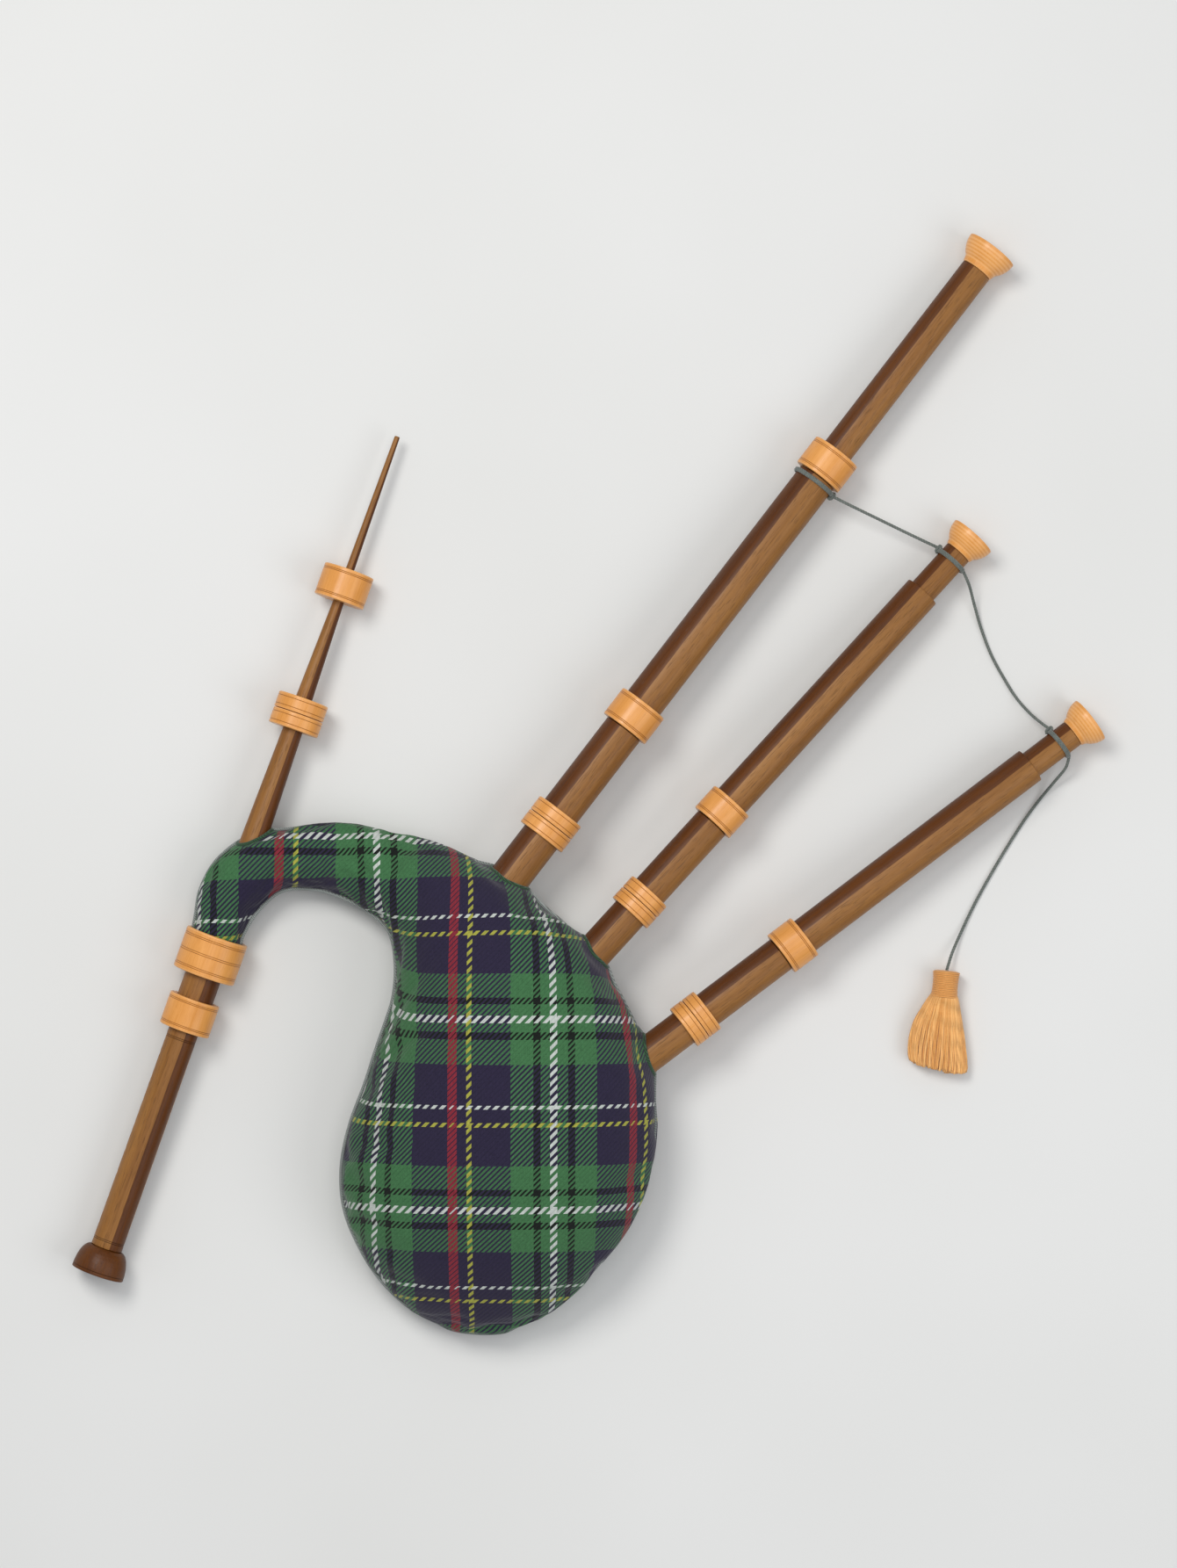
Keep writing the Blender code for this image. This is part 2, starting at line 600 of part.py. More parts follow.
def add_chanter():
    stock_end = CHANTER_RING[1] - SEAM_GAP / 2
    turned("neck_collar", "chanter", collar_profile(), "boxwood")
    profile = [(-50, 9), (-50, 13.8), (-8, 13.8), (-8, CHANTER_STOCK_R), (stock_end, CHANTER_STOCK_R)]
    profile += [(stock_end, 12.8), (10, 12.8), (10, 9)]
    turned("chanter_stock", "chanter", profile, "wood")
    profile = ring_profile(*CHANTER_RING, CHANTER_STOCK_R + SEAT_GAP, CHANTER_RING_R)
    turned("chanter_stock_ferrule", "chanter", profile, "boxwood")

    body_start = CHANTER_RING[1] + SEAM_GAP / 2
    tenon_r = 10.6
    upper, lower = CHANTER_R
    spigot_start, spigot_end = SOLE[0] - SEAM_GAP / 2, SOLE[1] - 4
    profile = [(18, 3.4), (18, tenon_r), (body_start, tenon_r), (body_start, upper), (spigot_start, lower)]
    profile += [(spigot_start, 13), (spigot_end, 13), (spigot_end, 10.5), (28, 2.4), (28, 3.4)]
    body = turned("chanter_body", "chanter", profile, "wood")
    for i, station in enumerate(FINGER_HOLES):
        add_hole(body, f"finger_hole_{i + 1}", station, FINGER_HOLE_R, FRONT_SIDE)
    add_hole(body, "thumb_hole", THUMB_HOLE, FINGER_HOLE_R, -FRONT_SIDE)
    add_hole(body, "tone_hole_left", TONE_HOLE, FINGER_HOLE_R, FRONT_SIDE)
    add_hole(body, "tone_hole_right", TONE_HOLE, FINGER_HOLE_R, -FRONT_SIDE)
    turned("chanter_tenon_hemp", "chanter", sleeve(28, 66, tenon_r + SEAT_GAP, tenon_r + SEAT_GAP + HEMP), "hemp")

    start, end = SOLE
    shoulder_r, rim_edge, steps = lower + 0.5, end - 0.5, 7
    profile = [(start, 13 + SEAT_GAP)]
    for i in range(steps + 1):
        angle = math.pi / 2 * i / steps
        station = rim_edge - (rim_edge - start) * math.cos(angle)
        profile.append((station, shoulder_r + (SOLE_R - shoulder_r) * math.sin(angle)))
    profile += [(end, SOLE_R - 0.4), (end, 11.5), (spigot_end + 0.5, 11.5), (spigot_end + 0.5, 13 + SEAT_GAP)]
    turned("chanter_sole", "chanter", profile, "dark_wood")

    profile = [(27.4, 1.7), (27.4, 2.9), (16, 2.9), (9, 2.7), (9, 2.0)]
    turned("chanter_reed_staple", "chanter", profile, "brass", SMALL_SEGMENTS)
    add_reed_blades()


def collar_profile():
    """The collar's bore is stepped: wide over the end of the bag's neck, narrow round the stock."""
    start, end = COLLAR
    rounding = 1.4
    neck_bore, step = 25.6, -6.0
    stock_bore = CHANTER_STOCK_R + SEAT_GAP
    profile = ring_profile(start, end, neck_bore, COLLAR_R, rounding)[:-1]
    return profile + [(end, stock_bore), (step, stock_bore), (step, neck_bore)]


def add_reed_blades():
    """Two cane blades bound round the staple, flattened to a thin lip."""
    start, end, rings = 14.5, -24, 6
    shape = bmesh.new()
    loops = []
    for i in range(rings):
        t = i / (rings - 1)
        width = 3.9 + 2.6 * t
        depth = 3.9 - 2.6 * t**1.3
        loop = []
        for j in range(SMALL_SEGMENTS):
            angle = math.tau * j / SMALL_SEGMENTS
            place = (width * math.cos(angle) * MM, depth * math.sin(angle) * MM, (start + (end - start) * t) * MM)
            loop.append(shape.verts.new(place))
        loops.append(loop)
    for before, after in zip(loops, loops[1:]):
        for j in range(SMALL_SEGMENTS):
            k = (j + 1) % SMALL_SEGMENTS
            shape.faces.new((before[j], before[k], after[k], after[j]))
    bmesh.ops.recalc_face_normals(shape, faces=shape.faces)
    mesh = bpy.data.meshes.new("chanter_reed_blades")
    shape.to_mesh(mesh)
    shape.free()
    blades = add_object("chanter_reed_blades", mesh, "cane", axes["chanter"])
    wall = blades.modifiers.new("wall", "SOLIDIFY")
    wall.thickness = 0.6 * MM
    wall.offset = -1.0


# ---- cords --------------------------------------------------------------------------------------------------------


def add_cord_span(name, route):
    curve = bpy.data.curves.new(name, "CURVE")
    curve.dimensions = "3D"
    curve.bevel_depth = CORD_R
    curve.bevel_resolution = 2
    curve.use_fill_caps = True
    points = smooth_route(route, CORD_POINT_SPACING)
    spline = curve.splines.new("POLY")
    spline.points.add(len(points) - 1)
    for point, place in zip(spline.points, points):
        point.co = (*(place + CENTRE), 1.0)
    obj = bpy.data.objects.new(name, curve)
    bpy.context.scene.collection.objects.link(obj)
    curve.materials.append(materials["cord"])


def add_cord_loop(name, pipe, station, pipe_radius):
    """One turn of the cord round a pipe."""
    radius = pipe_radius + SEAT_GAP + CORD_R / MM
    profile = []
    for i in range(6):
        angle = math.tau * i / 6
        profile.append((station + CORD_R / MM * math.sin(angle), radius + CORD_R / MM * math.cos(angle)))
    turned(name, pipe, profile, "cord")


def tassel_empty():
    empty = bpy.data.objects.new("tassel_axis", None)
    bpy.context.scene.collection.objects.link(empty)
    heading = Matrix.Rotation(math.radians(-TASSEL_TILT), 4, "Z")
    lie_down = Matrix.Rotation(math.radians(-90), 4, "X")
    empty.matrix_world = Matrix.Translation(Vector(TASSEL_TOP) + CENTRE) @ heading @ lie_down
    return empty


def tassel_loft(name, rings, points=16):
    """A closed loft along the tassel: rings of (station, half width, half height, height of the middle), in mm."""
    shape = bmesh.new()
    loops = []
    for station, width, height, lift in rings:
        loop = []
        for j in range(points):
            angle = math.tau * j / points
            x = width * math.cos(angle) * MM
            y = -(lift + height * math.sin(angle)) * MM
            loop.append(shape.verts.new((x, y, station * MM)))
        loops.append(loop)
    for before, after in zip(loops, loops[1:]):
        for j in range(points):
            k = (j + 1) % points
            shape.faces.new((before[j], before[k], after[k], after[j]))
    shape.faces.new(loops[0])
    shape.faces.new(loops[-1])
    bmesh.ops.recalc_face_normals(shape, faces=shape.faces)
    mesh = bpy.data.meshes.new(name)
    shape.to_mesh(mesh)
    shape.free()
    add_object(name, mesh, "tassel", axes["tassel"])


def add_cords():
    for name, route in CORD_ROUTES.items():
        add_cord_span(name, route)
    add_cord_loop("bass_cord_loop", "bass", 481.0, BASS_WOOD_R)
    add_cord_loop("tenor_1_cord_loop", "tenor_1", 511.5, TENOR_NECK_R)
    add_cord_loop("tenor_2_cord_loop", "tenor_2", 505.5, TENOR_NECK_R)
    tassel_loft("tassel_head", [(0, 13, 12.4, 0), (1.5, 13.8, 13, 0), (25, 13.8, 13, 0), (27, 12.6, 12, 0)])
    skirt = [(27.5, 12.6, 12, 0), (34, 17, 13, 0), (45, 23, 13.2, -0.2), (61, 27.5, 13.2, -0.3)]
    skirt += [(79, 29.6, 12.6, -0.8), (93, 30, 11.5, -1.9), (98, 28.4, 10, -3.4)]
    tassel_loft("tassel_skirt", skirt)


# ---- the instrument -----------------------------------------------------------------------------------------------

clear_scene()
materials = make_materials()
axes = {name: pipe_empty(name) for name in PIPES}
axes["tassel"] = tassel_empty()
add_bag()
add_bass()
add_tenor("tenor_1")
add_tenor("tenor_2")
add_blowpipe()
add_chanter()
add_cords()
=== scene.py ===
"""The looks of a set of Great Highland style bagpipes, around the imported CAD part: turned wood and
mounts, the bag in its tartan cover, the twisted cord that ties the drones and its tassel. Metres, +Z up,
the instrument lying on z = 0. Turned profiles are lists of (station, radius) in millimetres, along a
pipe's own axis.
"""

import json
import math

import bmesh
import bpy
import numpy as np
from mathutils import Matrix, Vector
from mathutils.bvhtree import BVHTree

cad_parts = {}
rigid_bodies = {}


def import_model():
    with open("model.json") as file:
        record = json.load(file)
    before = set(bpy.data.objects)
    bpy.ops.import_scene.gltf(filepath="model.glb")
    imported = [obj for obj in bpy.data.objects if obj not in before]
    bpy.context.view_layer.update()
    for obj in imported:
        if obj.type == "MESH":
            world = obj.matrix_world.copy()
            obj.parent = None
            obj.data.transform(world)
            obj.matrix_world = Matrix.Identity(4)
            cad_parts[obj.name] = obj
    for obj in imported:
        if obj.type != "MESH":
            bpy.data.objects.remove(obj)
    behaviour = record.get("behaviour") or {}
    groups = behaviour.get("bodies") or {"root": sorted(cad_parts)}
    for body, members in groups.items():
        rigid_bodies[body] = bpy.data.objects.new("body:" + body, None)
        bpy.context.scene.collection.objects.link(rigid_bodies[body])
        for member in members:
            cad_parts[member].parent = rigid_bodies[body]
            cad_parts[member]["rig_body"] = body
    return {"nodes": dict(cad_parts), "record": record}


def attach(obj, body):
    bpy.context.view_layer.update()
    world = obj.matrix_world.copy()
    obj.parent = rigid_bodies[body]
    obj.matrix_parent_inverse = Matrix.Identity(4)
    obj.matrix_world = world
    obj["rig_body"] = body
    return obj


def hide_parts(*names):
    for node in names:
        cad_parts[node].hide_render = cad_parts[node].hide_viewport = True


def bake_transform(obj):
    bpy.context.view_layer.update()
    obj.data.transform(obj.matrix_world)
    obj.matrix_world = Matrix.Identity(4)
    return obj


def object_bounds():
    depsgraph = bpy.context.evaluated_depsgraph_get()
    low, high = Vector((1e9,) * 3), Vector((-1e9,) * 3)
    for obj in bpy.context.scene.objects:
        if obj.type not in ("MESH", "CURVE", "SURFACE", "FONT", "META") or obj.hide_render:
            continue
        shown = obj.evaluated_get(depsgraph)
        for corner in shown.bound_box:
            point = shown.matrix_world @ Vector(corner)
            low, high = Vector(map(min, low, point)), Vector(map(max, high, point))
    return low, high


MM = 0.001

# ---- sizes shared with the CAD source ----

CENTRE = Vector((0.0, 0.0007, 0.0))  # what the whole instrument is moved by

# Where each pipe's axis starts, its heading in degrees from +X, and how far it falls per metre.
PIPES = {
    "bass": ((-0.0768, -0.0920, 0.0580), 52.46, 0.0423),
    "tenor_1": ((0.0042, -0.1626, 0.0580), 47.60, 0.0634),
    "tenor_2": ((0.0493, -0.2651, 0.0586), 36.98, 0.0634),
    "blowpipe": ((-0.3220, -0.0560, 0.0360), 70.50, 0.0395),
    "chanter": ((-0.3630, -0.1653, 0.0315), 250.33, 0.0176),
}
# The stocks that come out through the cloth. The chanter's fills the neck's open end.
STOCK_RADII = {"bass": 19.35, "tenor_1": 17.5, "tenor_2": 17.5, "blowpipe": 12.4}
# Stations of the chanter's holes.
FINGER_HOLES = (104, 128, 152, 176, 202, 226, 250)
THUMB_HOLE = 96
TONE_HOLE = 276
FINGER_HOLE_R = 3.0

# The bag's outline as chords across it, from the neck's open end to the belly's end: outer edge (x, y), inner
# edge (x, y), height of the top, height of the widest line.
BAG_CHORDS = [
    (-0.3805, -0.1463, -0.3375, -0.1617, 0.0545, 0.0317),
    (-0.3770, -0.1277, -0.3325, -0.1436, 0.0560, 0.0319),
    (-0.3725, -0.1000, -0.3215, -0.1240, 0.0590, 0.0320),
    (-0.3540, -0.0700, -0.3080, -0.1100, 0.0610, 0.0325),
    (-0.3180, -0.0510, -0.2940, -0.1010, 0.0620, 0.0330),
    (-0.2760, -0.0420, -0.2740, -0.0990, 0.0640, 0.0335),
    (-0.2340, -0.0400, -0.2470, -0.1030, 0.0690, 0.0350),
    (-0.1890, -0.0480, -0.2170, -0.1170, 0.0790, 0.0380),
    (-0.1440, -0.0590, -0.1910, -0.1390, 0.0950, 0.0430),
    (-0.0920, -0.0820, -0.1835, -0.1730, 0.1180, 0.0500),
    (-0.0460, -0.1140, -0.1850, -0.2030, 0.1340, 0.0545),
    (-0.0030, -0.1520, -0.1910, -0.2260, 0.1440, 0.0570),
    (0.0330, -0.2040, -0.2010, -0.2560, 0.1500, 0.0580),
    (0.0570, -0.2610, -0.2120, -0.2900, 0.1520, 0.0580),
    (0.0660, -0.3200, -0.2260, -0.3260, 0.1500, 0.0570),
    (0.0600, -0.3730, -0.2350, -0.3660, 0.1430, 0.0560),
    (0.0420, -0.4200, -0.2330, -0.4070, 0.1310, 0.0530),
    (0.0140, -0.4590, -0.2180, -0.4460, 0.1130, 0.0490),
    (-0.0160, -0.4900, -0.1960, -0.4800, 0.0900, 0.0430),
    (-0.0460, -0.5120, -0.1690, -0.5060, 0.0660, 0.0350),
    (-0.0740, -0.5245, -0.1400, -0.5210, 0.0460, 0.0270),
]
BAG_TIP = Vector((-0.1060, -0.5295, 0.0240))

CORD_D = 0.003
CORD_PITCH = 0.0085
CORD_ROUTES = {
    "bass_to_tenor_1": [
        (0.2347, 0.2752, 0.0377), (0.2510, 0.2672, 0.0345), (0.2780, 0.2544, 0.0292),
        (0.3060, 0.2410, 0.0260), (0.3250, 0.2320, 0.0251), (0.3363, 0.2267, 0.0256),
    ],
    "tenor_1_to_tenor_2": [
        (0.3605, 0.2038, 0.0262), (0.3668, 0.1900, 0.0190), (0.3720, 0.1730, 0.0090),
        (0.3790, 0.1500, 0.0032), (0.3890, 0.1240, 0.0022), (0.4015, 0.1010, 0.0022),
        (0.4134, 0.0820, 0.0050), (0.4260, 0.0670, 0.0150), (0.4360, 0.0580, 0.0235),
        (0.4423, 0.0532, 0.0265),
    ],
    "to_tassel": [
        (0.4622, 0.0258, 0.0266), (0.4592, 0.0150, 0.0205), (0.4487, 0.0010, 0.0105),
        (0.4360, -0.0150, 0.0030), (0.4205, -0.0360, 0.0018), (0.4020, -0.0650, 0.0018),
        (0.3850, -0.0940, 0.0018), (0.3715, -0.1190, 0.0018), (0.3600, -0.1430, 0.0035),
        (0.3510, -0.1630, 0.0085), (0.3456, -0.1790, 0.0125),
    ],
}
CORD_LOOPS = {  # pipe: (station, radius of the wood there)
    "bass": (481.0, 19.35),
    "tenor_1": (511.5, 13.5),
    "tenor_2": (505.5, 13.5),
}
CORD_LEAVES = {  # pipe: a point of the cord near its loop
    "bass": CORD_ROUTES["bass_to_tenor_1"][0],
    "tenor_1": CORD_ROUTES["bass_to_tenor_1"][-1],
    "tenor_2": CORD_ROUTES["tenor_1_to_tenor_2"][-1],
}
TASSEL_TILT = 185.5
TASSEL_TOP = Vector((0.3452, -0.1802, 0.0135))
TASSEL_HEAD_LENGTH = 27.0
TASSEL_HEAD_R = 13.8
SKIRT_END = 95.0
CORD_IN_TASSEL = 45.0  # mm of the cord inside the tassel

# ---- sizes of the looks ----

TURN_SEGMENTS = 72
SHARP_ANGLE = 40  # degrees
ROUNDED_SHARE = 0.42  # the most of an edge that a rounded corner takes up
SCRIBED_WIDTH = 0.8  # of the fine lines cut into mounts and wood, in mm
SCRIBED_DEPTH = 0.35
TABLE_GAP = 0.4 * MM  # the cloth's least height, and how far the floor is below z = 0
SHADE_BAND_EDGE = 0.26  # where the painted shade band on each pipe starts, as a share of the pipe's radius
COVER_RINGS = 132
COVER_POINTS = 64
HALF_ROUND = COVER_POINTS // 2
COVER_WALL = 1.6 * MM
HIDE_WALL = 2.0 * MM
HIDE_DEPTH = 5.2 * MM
HIDE_RINGS_SHORT = 7
CLOTH_SETTINGS = {
    "quality": 5,
    "mass": 0.15,
    "tension_stiffness": 20,
    "compression_stiffness": 20,
    "shear_stiffness": 8,
    "bending_stiffness": 0.12,
    "use_pressure": True,
    "uniform_pressure_force": 2.0,
    "shrink_min": -0.045,
}
SETTLING_FRAMES = 26
DEEPEST_WRINKLE = 7.5 * MM
PIPING_R = 1.6 * MM
HEM_R = 1.9 * MM
SETT_WARP = 175.0  # mm across one repeat of the tartan
SETT_WEFT = 180.0
TWILL_STEP = 5.2 * MM

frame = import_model()
cad_low, cad_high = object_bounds()
scene = bpy.context.scene
node_slots = {s["node"]: s["material_slot"] for s in frame["record"]["subparts"]}


def rgb(red, green, blue):
    """A linear colour from an sRGB one of 0 to 255."""

    def linear(value):
        share = value / 255
        return share / 12.92 if share <= 0.04045 else ((share + 0.055) / 1.055) ** 2.4

    return (linear(red), linear(green), linear(blue), 1.0)


def add_object(name, data):
    made = bpy.data.objects.new(name, data)
    scene.collection.objects.link(made)
    return made


# ---- camera, light and floor ----


def add_camera():
    """Straight above the instrument, with +Y up in the picture and a long lens."""
    image_width, image_height = 1340, 1785
    fill, lens, sensor = 0.885, 135.0, 36.0
    data = bpy.data.cameras.new("camera")
    data.lens = lens
    data.sensor_width = sensor
    camera = add_object("camera", data)
    seen_height = (cad_high.x - cad_low.x) / fill * image_height / image_width
    middle = (cad_low + cad_high) / 2
    camera.location = (middle.x, middle.y, middle.z + seen_height * lens / sensor)
    data.clip_end = 50.0
    scene.camera = camera


def add_area_light(name, place, size, watts, colour=(1.0, 1.0, 1.0)):
    """A round soft light, turned to the middle of the floor."""
    data = bpy.data.lights.new(name, "AREA")
    data.shape = "DISK"
    data.size = size
    data.energy = watts
    data.color = colour
    light = add_object(name, data)
    light.location = place
    light.rotation_euler = (-Vector(place)).to_track_quat("-Z", "Y").to_euler()


def add_studio():
    add_area_light("key", (-1.3, 1.5, 3.6), 1.6, 80, (1.0, 0.985, 0.96))
    add_area_light("fill", (2.2, -1.0, 2.6), 2.2, 30, (0.95, 0.97, 1.0))
    add_area_light("top", (0.2, 0.3, 4.6), 2.6, 45)
    world = bpy.data.worlds.new("studio")
    world.use_nodes = True
    background = world.node_tree.nodes["Background"]
    background.inputs["Color"].default_value = (0.93, 0.95, 1.0, 1.0)
    background.inputs["Strength"].default_value = 0.42
    scene.world = world
    scene.view_settings.view_transform = "Standard"


def add_floor():
    side = 7.0
    mesh = bpy.data.meshes.new("floor")
    corners = [(-side, -side, 0), (side, -side, 0), (side, side, 0), (-side, side, 0)]
    mesh.from_pydata(corners, [], [(0, 1, 2, 3)])
    floor = add_object("floor", mesh)
    floor.location.z = -TABLE_GAP
    shader = Shader("floor", {"Roughness": 0.85, "Specular IOR Level": 0.2})
    tone = shader.noise(shader.coordinates("Object"), 1.4, 3)
    shader.colour(shader.ramp(tone, [(0.3, rgb(214, 214, 211)), (0.7, rgb(220, 220, 218))]))
    mesh.materials.append(shader.material)


# ---- materials ----


class Shader:
    """A material, with short ways to add nodes. A socket given as a value is linked, the rest is set."""

    def __init__(self, name, settings):
        self.material = bpy.data.materials.new(name)
        self.material.use_nodes = True
        self.tree = self.material.node_tree
        self.surface = self.tree.nodes["Principled BSDF"]
        for socket, value in settings.items():
            self.surface.inputs[socket].default_value = value

    def feed(self, socket, value):
        if isinstance(value, bpy.types.NodeSocket):
            self.tree.links.new(value, socket)
        else:
            socket.default_value = value

    def node(self, kind, inputs, output=0, **settings):
        node = self.tree.nodes.new("ShaderNode" + kind)
        for key, value in settings.items():
            setattr(node, key, value)
        for key, value in inputs.items():
            self.feed(node.inputs[key], value)
        return node.outputs[output]

    def coordinates(self, kind):
        return self.node("TexCoord", {}, kind)

    def math(self, operation, first, second=0.0):
        return self.node("Math", {0: first, 1: second}, operation=operation)

    def times(self, first, second):
        return self.math("MULTIPLY", first, second)

    def plus(self, first, second):
        return self.math("ADD", first, second)

    def minus(self, first, second):
        return self.math("SUBTRACT", first, second)

    def repeated(self, along, period):
        """The share of a period, from 0 to 1 and over again."""
        return self.math("FRACT", self.math("DIVIDE", along, period))

    def peak(self, share):
        """0 at both ends of a share and 0.5 at its middle."""
        return self.math("PINGPONG", share, 0.5)

    def scaled(self, vector, scale):
        return self.node("VectorMath", {0: vector, 1: scale}, operation="MULTIPLY")

    def shifted(self, vector, shift):
        return self.node("VectorMath", {0: vector, 1: shift}, operation="ADD")

    def noise(self, vector, scale, detail=2.0, roughness=0.5):
        inputs = {"Vector": vector, "Scale": scale, "Detail": detail, "Roughness": roughness}
        return self.node("TexNoise", inputs)

    def grain(self, place, scales, detail, roughness=0.5):
        """Noise drawn out along the axes whose scale is small."""
        return self.noise(self.scaled(place, scales), 1.0, detail, roughness)

    def attribute(self, name):
        return self.node("Attribute", {}, "Fac", attribute_name=name)

    def spread(self, value, low, high, start=0.0, end=1.0):
        """value from low..high mapped to start..end, and held there outside."""
        inputs = {"Value": value, "From Min": low, "From Max": high, "To Min": start, "To Max": end}
        return self.node("MapRange", inputs)

    def mix(self, share, first, second, how="MIX"):
        return self.node("Mix", {0: share, 6: first, 7: second}, 2, data_type="RGBA", blend_type=how)

    def ramp(self, value, stops, interpolation="LINEAR", output="Color"):
        node = self.tree.nodes.new("ShaderNodeValToRGB")
        node.color_ramp.interpolation = interpolation
        elements = node.color_ramp.elements
        while len(elements) < len(stops):
            elements.new(0.5)
        for element, (place, colour) in zip(elements, stops):
            element.position = place
            element.color = colour
        self.feed(node.inputs["Fac"], value)
        return node.outputs[output] if output else node

    def colour(self, value):
        self.feed(self.surface.inputs["Base Color"], value)

    def roughness(self, noise, low, high):
        self.feed(self.surface.inputs["Roughness"], self.spread(noise, 0.3, 0.7, low, high))

    def bump(self, height, distance, strength=1.0):
        inputs = {"Height": height, "Distance": distance, "Strength": strength}
        self.feed(self.surface.inputs["Normal"], self.node("Bump", inputs))


def turned_coordinates(shader):
    """Coordinates along the pipe, moved on by chance on each piece so that no two have the same grain."""
    chance = shader.node("ObjectInfo", {}, "Random")
    shift = shader.node("CombineXYZ", {"X": chance, "Y": 0.0, "Z": shader.times(chance, 7.0)})
    return shader.shifted(shader.coordinates("Object"), shift)


def wood_material(name, pale, pale_2, dark, dark_2, painted_shade_band):
    """Oiled wood: long streaks of grain, short dark pores, painted shade in the scribed grooves and, on the
    pipes, a band of painted shade down one side that stands in for the shade of a round pipe.
    """
    shader = Shader(name, {"Coat Weight": 0.06, "Coat Roughness": 0.3, "Specular IOR Level": 0.2})
    place = turned_coordinates(shader)
    streaks = shader.grain(place, (430, 430, 9), 4, 0.6)
    slow = shader.grain(place, (70, 70, 5), 2)
    pores = shader.grain(place, (1700, 1700, 70), 1)
    pore_mask = shader.spread(pores, 0.60, 0.70)
    tone = shader.spread(shader.plus(streaks, slow), 0.72, 1.28)
    timber = shader.mix(tone, pale, pale_2)
    # Painted shade: the darker band down one side of each pipe stands in for the shade on a round pipe. It is
    # fixed to the wood and has a wavering, grain-like edge.
    if painted_shade_band:
        waver = shader.grain(place, (30, 30, 14), 3)
        side = shader.plus(shader.attribute("side"), shader.times(waver, 0.10))
        edge = SHADE_BAND_EDGE + 0.05
        painted_shade = shader.spread(side, edge - 0.018, edge + 0.018)
        timber = shader.mix(painted_shade, timber, shader.mix(tone, dark, dark_2))
    timber = shader.mix(shader.times(pore_mask, 0.45), timber, rgb(70, 44, 24))
    # Painted shade: the scribed grooves and other recesses are darkened towards a deep brown.
    recess = shader.times(shader.attribute("recess"), 0.75)
    shader.colour(shader.mix(recess, timber, rgb(44, 24, 10)))
    shader.roughness(streaks, 0.36, 0.52)
    height = shader.minus(shader.times(streaks, 0.5), pore_mask)
    shader.bump(height, 0.00012)
    return shader.material


def boxwood_material():
    """Pale tan mounts: polished close-grained boxwood with faint growth lines and painted shade in the
    scribed lines.
    """
    shader = Shader("boxwood", {"Coat Weight": 0.12, "Coat Roughness": 0.2, "Specular IOR Level": 0.28})
    place = turned_coordinates(shader)
    slow = shader.grain(place, (60, 60, 24), 3)
    lines = shader.grain(place, (900, 900, 26), 3, 0.6)
    tone = shader.spread(shader.plus(slow, shader.times(lines, 0.7)), 0.60, 1.10)
    base = shader.mix(tone, rgb(208, 139, 64), rgb(226, 159, 86))
    flecks = shader.spread(shader.grain(place, (1500, 1500, 160), 1), 0.66, 0.74)
    base = shader.mix(shader.times(flecks, 0.35), base, rgb(176, 112, 54))
    # Painted shade: darker in the scribed grooves.
    base = shader.mix(shader.times(shader.attribute("recess"), 0.8), base, rgb(120, 70, 28))
    worn = shader.times(shader.attribute("edge"), 0.45)
    shader.colour(shader.mix(worn, base, rgb(244, 192, 132)))
    shader.roughness(lines, 0.26, 0.42)
    shader.bump(lines, 0.00008)
    return shader.material


def fibre_material(name, settings, scales, detail, dark, light, depth):
    """Waxed yellow hemp, with fine fibres along each turn, or cane."""
    shader = Shader(name, settings)
    fibres = shader.grain(shader.coordinates("Object"), scales, detail, 0.7)
    shader.colour(shader.ramp(fibres, [(0.3, dark), (0.7, light)]))
    shader.bump(fibres, depth)
    return shader.material


def brass_material():
    shader = Shader("brass", {"Metallic": 1.0})
    dulled = shader.noise(shader.coordinates("Object"), 240.0, 4, 0.6)
    shader.colour(shader.ramp(dulled, [(0.35, rgb(176, 134, 62)), (0.65, rgb(224, 188, 108))]))
    shader.roughness(dulled, 0.22, 0.45)
    return shader.material


def leather_material(name, dark, light):
    shader = Shader(name, {"Specular IOR Level": 0.3})
    place = shader.coordinates("Object")
    grain = shader.node("TexVoronoi", {"Vector": place, "Scale": 900.0}, "Distance")
    tone = shader.noise(place, 60.0, 4)
    shader.colour(shader.ramp(tone, [(0.35, dark), (0.65, light)]))
    shader.roughness(tone, 0.6, 0.8)
    shader.bump(grain, 0.0003)
    return shader.material


def stripes(shader, along, period, bands):
    """The thread colours of one repeat. Bands are (start in mm, colour, 1 for a thin line, 0.5 for bold)."""
    share = shader.repeated(along, period * MM)
    stops = [(start / period, (*colour[:3], line)) for start, colour, line in bands]
    node = shader.ramp(share, stops, "CONSTANT", None)
    return node.outputs["Color"], node.outputs["Alpha"]


